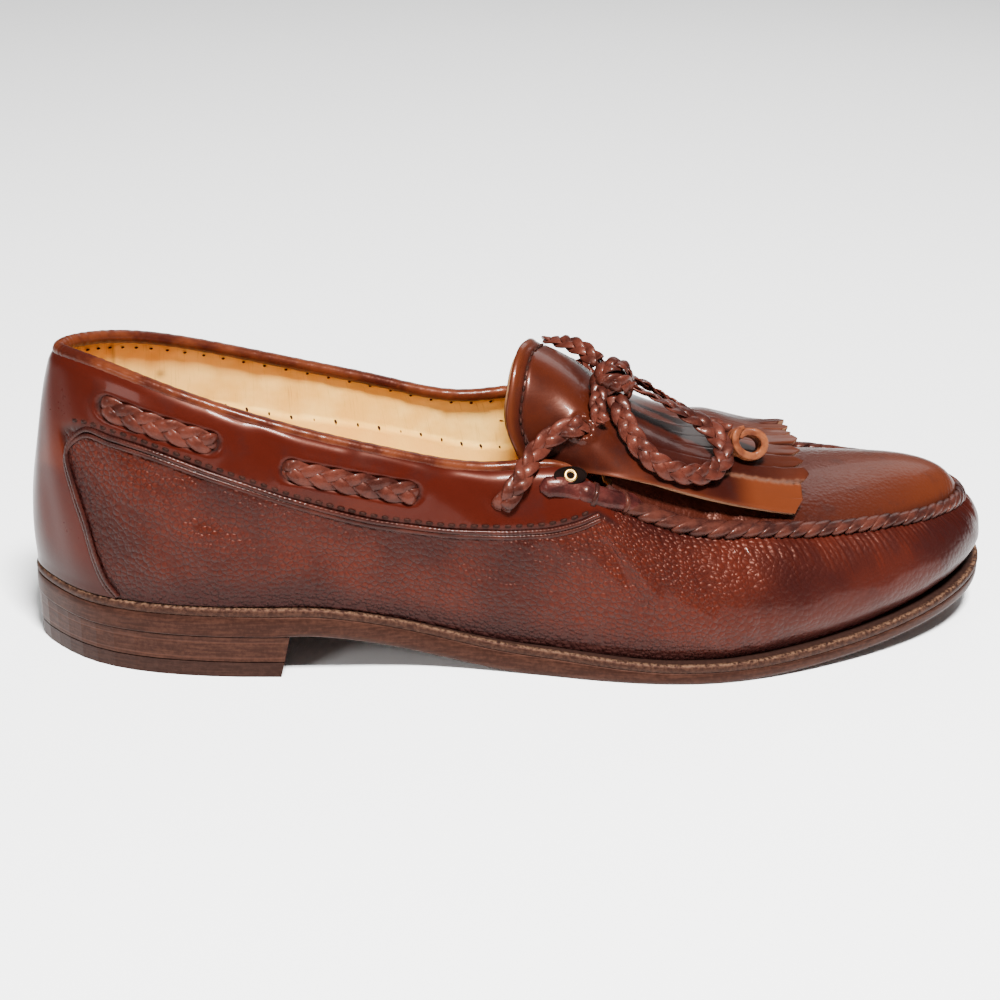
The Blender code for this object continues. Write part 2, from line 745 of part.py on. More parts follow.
def close_sheet(surface, top, bottom):
    """Closes the two faces of a sheet of rows along all four of its edges."""
    for rows in (top, bottom):
        for a, b in zip(rows, rows[1:]):
            surface.bridge(a, b)
    surface.bridge(top[0], bottom[0])
    surface.bridge(top[-1], bottom[-1])
    surface.bridge([r[0] for r in top], [r[0] for r in bottom])
    surface.bridge([r[-1] for r in top], [r[-1] for r in bottom])


def make_kiltie():
    """The fringed flap, from its rim over the tongue forward over the plug, its end cut in teeth."""
    columns = 2 * FRINGE_TEETH
    tip = KILTIE_SECTIONS[-1].x * LENGTH
    surface = Surface()
    sheets = []
    for depth in (0.0, KILTIE):
        rows = []
        for k in range(KILTIE_ROWS + 1):
            row = []
            for c in range(columns + 1):
                across = -1 + 2 * c / columns
                start = rim_x(across)
                end = tip - FRINGE_SIDE_CUT * LENGTH * across**4
                if c % 2 == 0:
                    end -= TOOTH_DEPTH
                x = start + (end - start) * k / KILTIE_ROWS
                row.append(kiltie_point(x, across, depth))
            rows.append(surface.row(row))
        sheets.append(rows)
    close_sheet(surface, *sheets)
    new_object("kiltie", surface.mesh("kiltie"), KILTIE_COLOUR, 0.4)


def under_plug(x, across, below):
    """The point that far below the plug's outer face, or below where it would run on behind the throat."""

    def place(station):
        return plug_point(station, across) - plug_normal(station, across) * below

    return place(halve(lambda station: place(station)[0] - x, THROAT - 2.0, TOE - 2.0))


def tongue_point(x, across, depth):
    """The tongue lies under the kiltie at its rim and dips under the plug in front of the throat."""
    wide = across * TONGUE_WIDTH
    rear = kiltie_point(x, wide, KILTIE + 2 * GAP + depth)
    throat_x = LAST(THROAT)[TOP_X]
    under = smoothstep((x - throat_x + TONGUE_DIP_START) / TONGUE_DIP)
    if under == 0:
        return rear
    return rear * (1 - under) + under_plug(x, wide, WALL + 3 * GAP + depth) * under


def make_tongue():
    surface = Surface()
    sheets = []
    for depth in (0.0, TONGUE):
        rows = []
        for k in range(TONGUE_ROWS + 1):
            row = []
            for c in range(TONGUE_COLUMNS + 1):
                across = -1 + 2 * c / TONGUE_COLUMNS
                start = rim_x(across * TONGUE_WIDTH)
                x = start + (TONGUE_END * LENGTH - start) * k / TONGUE_ROWS
                row.append(tongue_point(x, across, depth))
            rows.append(surface.row(row))
        sheets.append(rows)
    close_sheet(surface, *sheets)
    new_object("tongue", surface.mesh("tongue"), TONGUE_COLOUR, 0.6)


def on_wall(x, z, side):
    """Station and level where the wall's outer face lies at x and z, on the outer (-1) or inner (1) side."""

    def station(share):
        return share if side < 0 else ROUND - share

    v = 0.5
    for _ in range(12):
        at = station(halve(lambda share: wall_point(station(share), v)[0] - x, 0.3, TOE - 0.3))
        v = halve(lambda level: wall_point(at, level)[2] - z, 0.0, 1.0)
    return at, v


def on_kiltie(x, z, side):
    """Where across the kiltie its outer face lies at z, on one side of its ridge."""
    return side * halve(lambda share: z - kiltie_point(x, side * share)[2], 0.0, 1.0)


def halve(rising, low, high):
    """The place between low and high where a rising function passes zero."""
    for _ in range(30):
        middle = (low + high) / 2
        if rising(middle) < 0:
            low = middle
        else:
            high = middle
    return (low + high) / 2


def make_strap(name, points, normals, colour):
    """A flat length of the braided lace with rounded edges, along points, its face towards the normals."""
    surface = Surface()
    rings = []
    last = len(points) - 1
    for i, (point, normal) in enumerate(zip(points, normals)):
        along = unit(points[min(i + 1, last)] - points[max(i - 1, 0)])
        over = unit(np.cross(normal, along))
        up = np.cross(along, over)
        size = STRAP_END if i in (0, last) else 1.0
        ring = []
        for k in range(STRAP_SIDES):
            angle = 2 * math.pi * k / STRAP_SIDES
            wide = math.cos(angle) * LACE_WIDTH / 2 * size
            ring.append(point + over * wide + up * math.sin(angle) * LACE_THICK / 2 * size)
        rings.append(surface.row(ring))
    for a, b in zip(rings, rings[1:]):
        surface.bridge(a, b, closed=True)
    surface.faces += [rings[0][::-1], rings[-1]]
    new_object(name, surface.mesh(name), colour, 0.35)


def make_lace_passes():
    """The stretches of the lace that show in the collar's windows."""
    for row in LACE_PASSES:
        for side in SIDES:
            points, normals = [], []
            for k in range(PASS_STEPS + 1):
                share = k / PASS_STEPS
                x = (row.x_rear * (1 - share) + row.x_front * share) * LENGTH
                z = (row.z_rear * (1 - share) + row.z_front * share) * BACK_HEIGHT
                at, v = on_wall(x, z, side.sign)
                normals.append(wall_normal(at, v))
                points.append(wall_point(at, v) + normals[-1] * (LACE_THICK / 2 + GAP))
            make_strap(f"lace_pass_{side.label}_{row.name}", points, normals, LACE_COLOUR)


def make_lace_crossings():
    """From the collar's front window up over the edge of the throat to the hole in the kiltie."""
    for side in SIDES:
        points, normals = [], []
        for row in LACE_CROSSING:
            x, z = (row.x + side.crossing_shift) * LENGTH, row.z * BACK_HEIGHT
            if row.on == "wall":
                at, v = on_wall(x, z, side.sign)
                normal, point = wall_normal(at, v), wall_point(at, v)
            else:
                across = on_kiltie(x, z, side.sign)
                normal, point = kiltie_normal(x, across), kiltie_point(x, across)
            normals.append(normal)
            points.append(point + normal * (LACE_THICK / 2 + row.lift * LACE_THICK))
        fine = [k / CROSSING_STEPS for k in range(CROSSING_STEPS * (len(points) - 1) + 1)]
        knots = list(range(len(points)))
        route = [smooth_through(knots, points, t) for t in fine]
        faces = [unit(smooth_through(knots, normals, t)) for t in fine]
        make_strap(f"lace_cross_{side.label}", route, faces, LACE_COLOUR)


def make_ring(name, centre, normal, radius, wire, colour, metallic):
    """A round wire bent into a ring that faces along normal."""
    over = unit(np.cross(normal, [0, 0, 1]))
    up = np.cross(normal, over)
    surface = Surface()
    rings = []
    for i in range(RING_STEPS):
        turn = 2 * math.pi * i / RING_STEPS
        out = over * math.cos(turn) + up * math.sin(turn)
        ring = []
        for k in range(WIRE_SIDES):
            angle = 2 * math.pi * k / WIRE_SIDES
            spread = out * (radius + wire * math.cos(angle))
            ring.append(centre + spread + normal * wire * math.sin(angle))
        rings.append(surface.row(ring))
    for i, ring in enumerate(rings):
        surface.bridge(ring, rings[(i + 1) % len(rings)], closed=True)
    new_object(name, surface.mesh(name), colour, 0.3, metallic)


def make_eyelets():
    for side in SIDES:
        at, v = on_wall(side.eyelet_x * LENGTH, side.eyelet_z * BACK_HEIGHT, side.sign)
        normal = wall_normal(at, v)
        centre = wall_point(at, v) + normal * (EYELET_WIRE + side.eyelet_gaps * GAP)
        name = f"eyelet_{side.label}"
        make_ring(name, centre, normal, EYELET_RADIUS, EYELET_WIRE, BRASS_COLOUR, 1.0)


def make_cord(name, route):
    """A tube along a smooth curve through a route in millimetres."""
    stops = [0.0]
    for a, b in zip(route, route[1:]):
        stops.append(stops[-1] + math.dist(a, b))
    count = max(round(stops[-1] * MM / (CORD_SPACING * CORD_DIAMETER)), 3)
    curve = bpy.data.curves.new(name, "CURVE")
    curve.dimensions = "3D"
    curve.bevel_depth = CORD_DIAMETER / 2
    curve.bevel_resolution = 2
    curve.use_fill_caps = True
    spline = curve.splines.new("POLY")
    spline.points.add(count)
    for i in range(count + 1):
        place = smooth_through(stops, route, stops[-1] * i / count) * MM
        spline.points[i].co = (*place, 1)
    new_object(name, curve, LACE_COLOUR, 0.35)


def make_knot():
    """The bow's knot, a plain closed lump of its outer shape."""
    mesh = bpy.data.meshes.new("bow_knot")
    work = bmesh.new()
    bmesh.ops.create_uvsphere(work, u_segments=12, v_segments=8, radius=1.0)
    bmesh.ops.scale(work, verts=work.verts, vec=[r * MM for r in KNOT_RADII])
    bmesh.ops.translate(work, verts=work.verts, vec=[c * MM for c in KNOT_CENTRE])
    work.to_mesh(mesh)
    work.free()
    mesh.shade_smooth()
    new_object("bow_knot", mesh, LACE_COLOUR, 0.35)


def make_end_curl():
    """The rolled leather ring on the lace's long end, lying on the kiltie."""
    centre = np.array(CURL_CENTRE) * MM
    normal = kiltie_normal(centre[0], on_kiltie(centre[0], centre[2] - CURL_THICK, -1))
    make_ring("bow_end_knot", centre, normal, CURL_RADIUS, CURL_THICK / 2, CURL_COLOUR, 0.0)


def make_bow():
    make_knot()
    make_cord("bow_loop_near", LOOP_NEAR)
    make_cord("bow_loop_far", LOOP_FAR)
    make_cord("bow_end_long", END_LONG)
    make_cord("bow_end_short", END_SHORT)
    make_end_curl()


def clear_scene():
    for obj in list(bpy.data.objects):
        bpy.data.objects.remove(obj)


def centre_on_floor():
    """One empty carries every piece, and brings the middle of the box of all but the bow to the origin."""
    pieces = list(bpy.data.objects)
    shoe = bpy.data.objects.new("shoe", None)
    bpy.context.scene.collection.objects.link(shoe)
    solids = [obj for obj in pieces if not obj.name.startswith("bow_")]
    corners = np.array([vertex.co for obj in solids for vertex in obj.data.vertices])
    middle = (corners.min(axis=0) + corners.max(axis=0)) / 2
    shoe.location = (-middle[0], -middle[1], 0)
    for obj in pieces:
        obj.parent = shoe


def build():
    clear_scene()
    make_outsole()
    make_welt()
    make_heel()
    make_insole()
    make_upper()
    make_tongue()
    make_kiltie()
    make_lace_passes()
    make_lace_crossings()
    make_eyelets()
    make_bow()
    centre_on_floor()


build()
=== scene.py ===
"""The looks of a kiltie loafer: polished oxblood leather, a whipped moccasin seam, braided lace and leather sole.

Every shape is laid out in metres from the back of the sole, as the solids are, and moved into the frame when its
mesh is made. A station runs round the last: 0 at the heel's back, 17 at the toe, 34 at the heel again.
"""

import math
from collections import namedtuple

import bmesh
import bpy
import numpy as np
from mathutils import Matrix, Vector


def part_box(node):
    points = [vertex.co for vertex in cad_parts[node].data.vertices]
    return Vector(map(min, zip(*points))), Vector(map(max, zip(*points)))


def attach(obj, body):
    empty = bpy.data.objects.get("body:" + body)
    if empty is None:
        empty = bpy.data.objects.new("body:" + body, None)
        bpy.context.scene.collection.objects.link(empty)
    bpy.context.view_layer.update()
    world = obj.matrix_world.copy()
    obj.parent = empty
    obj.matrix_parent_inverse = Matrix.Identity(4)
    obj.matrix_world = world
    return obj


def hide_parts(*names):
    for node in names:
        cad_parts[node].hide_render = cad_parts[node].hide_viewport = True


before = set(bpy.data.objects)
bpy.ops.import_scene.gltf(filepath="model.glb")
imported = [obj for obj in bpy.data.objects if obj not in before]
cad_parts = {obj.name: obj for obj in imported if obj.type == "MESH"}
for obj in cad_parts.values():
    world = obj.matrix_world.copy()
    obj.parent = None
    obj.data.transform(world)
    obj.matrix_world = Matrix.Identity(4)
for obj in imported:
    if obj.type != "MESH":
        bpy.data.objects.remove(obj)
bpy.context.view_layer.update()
MM = 0.001

# The camera, in the shoe's own layout: what it looks at, how far off, and its angles in degrees
TARGET = (143 * MM, 0, 38.7 * MM)
DISTANCE = 600 * MM
AZIMUTH, ELEVATION, ROLL = -9.5, 25.0, 2.2
FOCAL_PIXELS, IMAGE_PIXELS, SENSOR = 1911, 1000, 36.0

# Driving dimensions, as in the solids
LENGTH = 303 * MM
BALL_WIDTH = 104 * MM
OUTSOLE = 3.8 * MM
WAIST_EXTRA, WAIST_END, WAIST_FADE = 2.8 * MM, 192 * MM, 52 * MM
WELT, WELT_WIDTH = 2.6 * MM, 12.0 * MM
HEEL_RISE, HEEL_BACK_LIFT, HEEL_BACK_REACH = 13.9 * MM, 1.2 * MM, 18 * MM
TOP_LIFT, HEEL_TAPER = 5.0 * MM, 0.6 * MM
BREAST_X, BREAST_HOLLOW, BREAST_RAKE = 75 * MM, 3.0 * MM, 2.5 * MM
ARCH_START, ARCH_END = 76 * MM, 149 * MM
SPRING_START, TOE_SPRING = 198 * MM, 12.3 * MM
BACK_HEIGHT, CROWN_HEIGHT = 94 * MM, 17 * MM
WALL, ROLL_THICK = 2.0 * MM, 4.0 * MM
LEDGE, SWELL = 5.5 * MM, 9.0 * MM
SEAM_BEAD, SEAM_END_BEAD = 1.8 * MM, 2.6 * MM
LOWER_HANDLE, UPPER_HANDLE, UPPER_LEAN = 0.30, 0.80, 0.38
PLUG_ARCH_DEG = 52
INSOLE_ABOVE_WELT = 2.4 * MM
KILTIE, TONGUE = 1.8 * MM, 1.5 * MM
GAP = 0.35 * MM

Station = namedtuple(
    "Station",
    "sole_x sole_out sole_in top_x top_out top_in top_z ledge swell shoulder crown",
)
STATIONS = [
    Station(0.000, 0.000, 0.000, 0.030, 0.000, 0.000, 0.988, 0.20, 0.30, -0.10, 0.00),
    Station(0.020, 0.120, 0.120, 0.040, 0.056, 0.056, 0.990, 0.20, 0.30, -0.10, 0.00),
    Station(0.059, 0.230, 0.227, 0.074, 0.132, 0.130, 0.977, 0.22, 0.30, -0.05, 0.00),
    Station(0.119, 0.308, 0.294, 0.125, 0.212, 0.204, 0.938, 0.25, 0.32, 0.05, 0.00),
    Station(0.198, 0.353, 0.318, 0.195, 0.271, 0.258, 0.872, 0.30, 0.36, 0.15, 0.00),
    Station(0.290, 0.368, 0.306, 0.277, 0.303, 0.286, 0.798, 0.35, 0.42, 0.30, 0.00),
    Station(0.383, 0.360, 0.287, 0.360, 0.312, 0.293, 0.730, 0.42, 0.52, 0.45, 0.00),
    Station(0.469, 0.398, 0.301, 0.442, 0.304, 0.283, 0.680, 0.52, 0.62, 0.55, 0.00),
    Station(0.541, 0.458, 0.344, 0.515, 0.318, 0.297, 0.685, 0.62, 0.72, 0.62, 1.20),
    Station(0.607, 0.500, 0.404, 0.563, 0.342, 0.318, 0.586, 0.70, 0.80, 0.68, 1.22),
    Station(0.673, 0.512, 0.462, 0.640, 0.347, 0.338, 0.476, 0.76, 0.86, 0.72, 0.94),
    Station(0.739, 0.486, 0.490, 0.710, 0.329, 0.338, 0.446, 0.82, 0.90, 0.76, 0.73),
    Station(0.802, 0.438, 0.487, 0.772, 0.298, 0.327, 0.420, 0.88, 0.94, 0.80, 0.53),
    Station(0.858, 0.383, 0.460, 0.828, 0.267, 0.306, 0.414, 0.96, 0.96, 0.84, 0.47),
    Station(0.911, 0.313, 0.404, 0.881, 0.219, 0.267, 0.407, 1.06, 0.98, 0.86, 0.54),
    Station(0.954, 0.229, 0.322, 0.922, 0.162, 0.209, 0.402, 1.14, 0.98, 0.86, 0.55),
    Station(0.987, 0.115, 0.197, 0.957, 0.079, 0.118, 0.397, 1.18, 0.98, 0.86, 0.34),
    Station(1.000, -0.038, 0.038, 0.971, -0.022, 0.022, 0.393, 1.20, 0.98, 0.86, 0.00),
]
TOE, ROUND, THROAT = 17, 34, 9
SOLE_X, SOLE_Y, TOP_X, TOP_Y, TOP_Z, LEDGE_AT, SWELL_AT, SHOULDER_AT, CROWN_AT = range(9)

KiltieSection = namedtuple("KiltieSection", "x out_y in_y edge_z ridge_z arch_deg")
KILTIE_SECTIONS = [
    KiltieSection(0.460, 0.245, 0.215, 0.640, 1.010, 84),
    KiltieSection(0.485, 0.250, 0.222, 0.640, 0.992, 84),
    KiltieSection(0.510, 0.262, 0.240, 0.645, 0.957, 82),
    KiltieSection(0.545, 0.314, 0.294, 0.656, 0.888, 78),
    KiltieSection(0.590, 0.335, 0.316, 0.635, 0.782, 64),
    KiltieSection(0.645, 0.335, 0.330, 0.585, 0.702, 52),
    KiltieSection(0.700, 0.318, 0.322, 0.527, 0.672, 50),
    KiltieSection(0.750, 0.288, 0.302, 0.481, 0.636, 50),
    KiltieSection(0.778, 0.268, 0.288, 0.463, 0.630, 50),
]
RimPoint = namedtuple("RimPoint", "round x")
RIM = [
    RimPoint(-1.00, 0.480),
    RimPoint(-0.75, 0.463),
    RimPoint(-0.50, 0.467),
    RimPoint(-0.22, 0.478),
    RimPoint(0.05, 0.494),
    RimPoint(0.30, 0.500),
    RimPoint(0.60, 0.498),
    RimPoint(1.00, 0.505),
]
KILTIE_TIP = 0.778 * LENGTH
FRINGE_SIDE_CUT = 0.035
STRIPS = 14
TOOTH = 4.5 * MM

# Where the lace shows in the collar's windows, and its crossing, as in the solids
LacePass = namedtuple("LacePass", "name x_rear z_rear x_front z_front")
LACE_PASSES = [
    LacePass("rear", 0.082, 0.862, 0.176, 0.788),
    LacePass("front", 0.252, 0.706, 0.365, 0.624),
]
CrossingPoint = namedtuple("CrossingPoint", "on x z lift")
LACE_CROSSING = [
    CrossingPoint("wall", 0.455, 0.585, 0.25),
    CrossingPoint("wall", 0.470, 0.640, 1.00),
    CrossingPoint("kiltie", 0.494, 0.725, 1.20),
    CrossingPoint("kiltie", 0.515, 0.765, 0.50),
    CrossingPoint("kiltie", 0.533, 0.785, 0.20),
]
Side = namedtuple("Side", "label sign crossing_shift eyelet_x eyelet_z eyelet_gaps")
SIDES = [
    Side("lateral", -1, 0.0, 0.520, 0.662, 3.0),
    Side("medial", 1, 0.034, 0.540, 0.585, 1.4),
]
LACE_WIDTH, LACE_THICK = 6.2 * MM, 2.8 * MM

# The bow's routes, as in the solids, in millimetres
KNOT_CENTRE = (174.0, -11.0, 83.2)
CURL_CENTRE = (216.0, -18.5, 63.8)
CURL_RADIUS, CURL_THICK = 4.2 * MM, 3.4 * MM
LOOP_NEAR = [
    (174.4, -16.6, 79.7),
    (174.9, -21.5, 76.6),
    (176.9, -26.5, 72.5),
    (180.2, -31.0, 68.0),
    (186.0, -33.8, 63.8),
    (193.5, -33.8, 61.2),
    (201.0, -31.2, 60.4),
    (206.3, -26.0, 61.9),
    (207.2, -20.0, 65.2),
    (203.0, -15.8, 69.0),
    (195.5, -14.0, 73.0),
    (187.5, -13.6, 77.5),
    (179.8, -13.3, 81.2),
]
LOOP_FAR = [
    (170.6, -4.6, 86.0),
    (166.8, 1.0, 88.4),
    (162.0, 7.0, 88.6),
    (158.9, 13.0, 87.0),
    (161.3, 18.4, 84.4),
    (167.0, 21.6, 81.8),
    (174.0, 23.4, 77.8),
    (181.0, 23.8, 73.4),
    (187.3, 21.4, 70.7),
    (190.4, 16.0, 70.9),
    (188.0, 10.0, 73.0),
    (182.0, 4.8, 76.4),
    (175.6, -1.6, 80.2),
]
END_LONG = [
    (178.0, -6.1, 81.4),
    (184.5, -3.2, 78.6),
    (191.5, -3.8, 74.6),
    (198.5, -7.2, 71.2),
    (204.5, -11.2, 68.4),
    (210.9, -15.1, 66.1),
]
END_SHORT = [
    (169.2, -15.8, 82.6),
    (168.2, -19.6, 80.9),
    (167.3, -23.4, 78.3),
    (168.3, -26.2, 75.2),
]


def smoothstep(t):
    t = np.clip(t, 0.0, 1.0)
    return t * t * (3 - 2 * t)


def unit(vectors):
    vectors = np.asarray(vectors, float)
    length = np.linalg.norm(vectors, axis=-1, keepdims=True)
    return vectors / np.maximum(length, 1e-12)


class ClosedSpline:
    """A smooth closed curve through evenly numbered rows, read at many places at once."""

    def __init__(self, rows):
        self.rows = np.array(rows, float)
        count = len(self.rows)
        system = np.zeros((count, count))
        for i in range(count):
            system[i, i] = 4
            system[i, (i - 1) % count] = 1
            system[i, (i + 1) % count] = 1
        before, after = np.roll(self.rows, 1, axis=0), np.roll(self.rows, -1, axis=0)
        self.bends = np.linalg.solve(system, 6 * (before - 2 * self.rows + after))

    def __call__(self, at):
        at = np.asarray(at, float)
        low = np.floor(at).astype(int)
        right = (at - low)[..., None]
        left = 1 - right
        a, b = low % len(self.rows), (low + 1) % len(self.rows)
        return (
            left * self.rows[a]
            + right * self.rows[b]
            + (left**3 - left) / 6 * self.bends[a]
            + (right**3 - right) / 6 * self.bends[b]
        )


def smooth_through(knots, values, at):
    """A smooth open curve through rows of values, by Catmull-Rom on uneven knots."""
    knots, values = np.array(knots, float), np.array(values, float)
    slopes = np.gradient(values, knots, axis=0)
    at = np.clip(np.asarray(at, float), knots[0], knots[-1])
    i = np.clip(np.searchsorted(knots, at, side="right") - 1, 0, len(knots) - 2)
    span = (knots[i + 1] - knots[i])[..., None]
    t = (at - knots[i])[..., None] / span
    return (
        (2 * t**3 - 3 * t**2 + 1) * values[i]
        + (t**3 - 2 * t**2 + t) * span * slopes[i]
        + (3 * t**2 - 2 * t**3) * values[i + 1]
        + (t**3 - t**2) * span * slopes[i + 1]
    )


def smooth_line(points, count):
    """Evenly spaced places along a smooth curve through points, as an array."""
    points = np.array(points, float)
    stops = np.append(0, np.cumsum(np.linalg.norm(np.diff(points, axis=0), axis=1)))
    fine = smooth_through(stops, points, np.linspace(0, stops[-1], 12 * len(points)))
    stops = np.append(0, np.cumsum(np.linalg.norm(np.diff(fine, axis=0), axis=1)))
    even = np.linspace(0, stops[-1], count)
    return np.stack([np.interp(even, stops, fine[:, k]) for k in range(points.shape[1])], axis=1)


def smooth_route(points, normals, count):
    """Evenly spaced places along a smooth curve through points, with their normals."""
    points, normals = np.asarray(points, float), np.asarray(normals, float)
    joined = smooth_line(np.concatenate([points, normals * 0.01 * MM], axis=1), count)
    return joined[:, :3], unit(joined[:, 3:])


def station_values(station, side):
    """One station's columns in metres, on the outer side (-1) or the inner side (1)."""
    return [
        station.sole_x * LENGTH,
        (-station.sole_out if side < 0 else station.sole_in) * BALL_WIDTH,
        station.top_x * LENGTH,
        (-station.top_out if side < 0 else station.top_in) * BALL_WIDTH,
        station.top_z * BACK_HEIGHT,
        station.ledge * LEDGE,
        station.swell * SWELL,
        station.shoulder * SWELL,
        station.crown * CROWN_HEIGHT,
    ]


OUTER_ROWS = [station_values(station, -1) for station in STATIONS]
INNER_ROWS = [station_values(station, 1) for station in reversed(STATIONS[1:-1])]
LAST = ClosedSpline(OUTER_ROWS + INNER_ROWS)

# The solids were laid out in steps of a third of a station, so their box is met at those steps
SOLE_STEPS = LAST(np.arange(3 * ROUND) / 3)
OUTSOLE_LOW, OUTSOLE_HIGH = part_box("outsole")
SHIFT = np.array(
    [
        OUTSOLE_LOW.x - SOLE_STEPS[:, SOLE_X].min(),
        OUTSOLE_LOW.y - SOLE_STEPS[:, SOLE_Y].min(),
        0.0,
    ]
)


def tread_height(x):
    """Height of the outsole's underside: down the arch from the heel, flat at the tread, up the toe."""
    x = np.asarray(x, float)
    arch = HEEL_RISE * smoothstep((ARCH_END - x) / (ARCH_END - ARCH_START))
    back = HEEL_BACK_LIFT * np.clip(1 - x / HEEL_BACK_REACH, 0, None) ** 2
    spring = np.clip(x - SPRING_START, 0, None) / (LENGTH - SPRING_START)
    return np.where(x < ARCH_END, arch + back, TOE_SPRING * spring**2)


def seat_height(x):
    """Height of the outsole's upper face, which the welt and the insole lie on."""
    waist = WAIST_EXTRA * smoothstep((WAIST_END - np.asarray(x, float)) / WAIST_FADE)
    return tread_height(x) + OUTSOLE + waist


def outward(at):
    """Horizontal unit normals of the sole's edge, pointing away from the foot."""
    along = (LAST(at + 0.02) - LAST(at - 0.02))[..., [SOLE_X, SOLE_Y]]
    return unit(np.stack([along[..., 1], -along[..., 0]], axis=-1))


def sole_edge(at, inset=0.0):
    """Plan places of the sole's edge, moved in by inset."""
    inset = np.asarray(inset, float)[..., None]
    return LAST(at)[..., [SOLE_X, SOLE_Y]] - outward(at) * inset


def wall_points(at, v):
    """Outer face of the upper's wall at pairs of stations and levels: 0 at the welt, 1 at the top."""
    at, v = np.broadcast_arrays(np.asarray(at, float), np.asarray(v, float))
    values = LAST(at)
    flat = outward(at)
    normal = np.concatenate([flat, np.zeros_like(flat[..., :1])], axis=-1)
    foot_xy = sole_edge(at, values[..., LEDGE_AT])
    foot_z = seat_height(foot_xy[..., 0]) + WELT + GAP
    foot = np.concatenate([foot_xy, foot_z[..., None]], axis=-1)
    top = values[..., [TOP_X, TOP_Y, TOP_Z]]
    height = (top - foot)[..., 2]
    lower = foot + normal * values[..., SWELL_AT, None]
    lower[..., 2] += LOWER_HANDLE * height
    upper = foot * (1 - UPPER_LEAN) + top * UPPER_LEAN
    upper[..., 2] = foot[..., 2] + UPPER_HANDLE * height
    upper = upper + normal * values[..., SHOULDER_AT, None]
    v = v[..., None]
    u = 1 - v
    return u**3 * foot + 3 * u * u * v * lower + 3 * u * v * v * upper + v**3 * top


def wall_normals(at, v):
    at, v = np.broadcast_arrays(np.asarray(at, float), np.asarray(v, float))
    step = 0.01
    along = wall_points(at + step, v) - wall_points(at - step, v)
    up = wall_points(at, np.minimum(v + step, 1)) - wall_points(at, np.maximum(v - step, 0))
    return unit(np.cross(along, up))


def arch_points(left, right, rise, arch_deg, across):
    """Places of a circular arch from left (-1) to right (1) that rises in its middle."""
    reach = np.radians(arch_deg)
    angle = across * reach
    side = np.sin(angle) / np.sin(reach)
    lift = (np.cos(angle) - np.cos(reach)) / (1 - np.cos(reach))
    places = (left + right) / 2 + (right - left) / 2 * side[..., None]
    places[..., 2] += rise * lift
    return places


def plug_points(station, across):
    """Outer face of the plug: across is -1 at the outer seam and 1 at the inner."""
    station, across = np.broadcast_arrays(np.asarray(station, float), np.asarray(across, float))
    left, right = LAST(station), LAST(ROUND - station)
    crown = 0.5 * (left[..., CROWN_AT] + right[..., CROWN_AT])
    tops = [TOP_X, TOP_Y, TOP_Z]
    return arch_points(left[..., tops], right[..., tops], crown, PLUG_ARCH_DEG, across)


def plug_normals(station, across):
    station, across = np.broadcast_arrays(np.asarray(station, float), np.asarray(across, float))
    step = 0.02
    front = np.minimum(station + step, TOE - step)
    rear = np.minimum(station - step, front - step)
    over = plug_points(station, np.minimum(across + step, 1)) - plug_points(
        station, np.maximum(across - step, -1)
    )
    return unit(np.cross(plug_points(front, across) - plug_points(rear, across), over))


def from_heel(at):
    """The station counted from the heel on either side."""
    return np.where(at <= TOE, at, ROUND - at)


def collar_share(at):
    """1 along the topline, falling to 0 at the throat's corners."""
    return smoothstep((THROAT - from_heel(at)) / 1.5)


def seam_normals(at):
    """Between the normals of the wall and of the plug, along the moccasin seam."""
    station = np.clip(from_heel(at), THROAT, TOE - 0.3)
    side = np.where(at <= TOE, -1.0, 1.0)
    return unit(wall_normals(at, 1.0) + plug_normals(station, side))


def kiltie_points(x, across, depth=0.0):
    """Outer face of the kiltie, moved in by depth: across is -1 to 1."""
    x, across = np.broadcast_arrays(np.asarray(x, float), np.asarray(across, float))
    rows = [list(section)[1:] for section in KILTIE_SECTIONS]
    found = smooth_through([s.x for s in KILTIE_SECTIONS], rows, x / LENGTH)
    out_y, in_y, edge_z, ridge_z, arch_deg = np.moveaxis(found, -1, 0)
    left = np.stack([x, -out_y * BALL_WIDTH, edge_z * BACK_HEIGHT], axis=-1)
    right = np.stack([x, in_y * BALL_WIDTH, edge_z * BACK_HEIGHT], axis=-1)
    places = arch_points(left, right, (ridge_z - edge_z) * BACK_HEIGHT, arch_deg, across)
    if np.any(depth):
        places = places - kiltie_normals(x, across) * np.asarray(depth)[..., None]
    return places


def kiltie_normals(x, across):
    x, across = np.broadcast_arrays(np.asarray(x, float), np.asarray(across, float))
    step = 0.5 * MM
    over = kiltie_points(x, np.minimum(across + 0.02, 1)) - kiltie_points(
        x, np.maximum(across - 0.02, -1)
    )
    along = kiltie_points(x + step, across) - kiltie_points(x - step, across)
    return unit(np.cross(along, over))


def rim_x(across):
    return smooth_through([r.round for r in RIM], [[r.x] for r in RIM], across)[..., 0] * LENGTH


def halve(rising, low, high):
    """The place between low and high where a rising function passes zero."""
    for _ in range(26):
        middle = (low + high) / 2
        if rising(middle) < 0:
            low = middle
        else:
            high = middle
    return (low + high) / 2


def on_wall(x, z, side):
    """Station and level where the wall's outer face lies at x and z, on the outer (-1) or inner (1) side."""

    def station(share):
        return share if side < 0 else ROUND - share

    v = 0.5
    for _ in range(8):
        at = station(halve(lambda share: wall_points(station(share), v)[0] - x, 0.0, TOE - 0.1))
        v = halve(lambda level: wall_points(at, level)[2] - z, 0.0, 1.0)
    return at, v


def on_kiltie(x, z, side):
    """Where across the kiltie its outer face lies at z, on one side of its ridge."""
    return side * halve(lambda share: z - kiltie_points(x, side * share)[2], 0.0, 1.0)


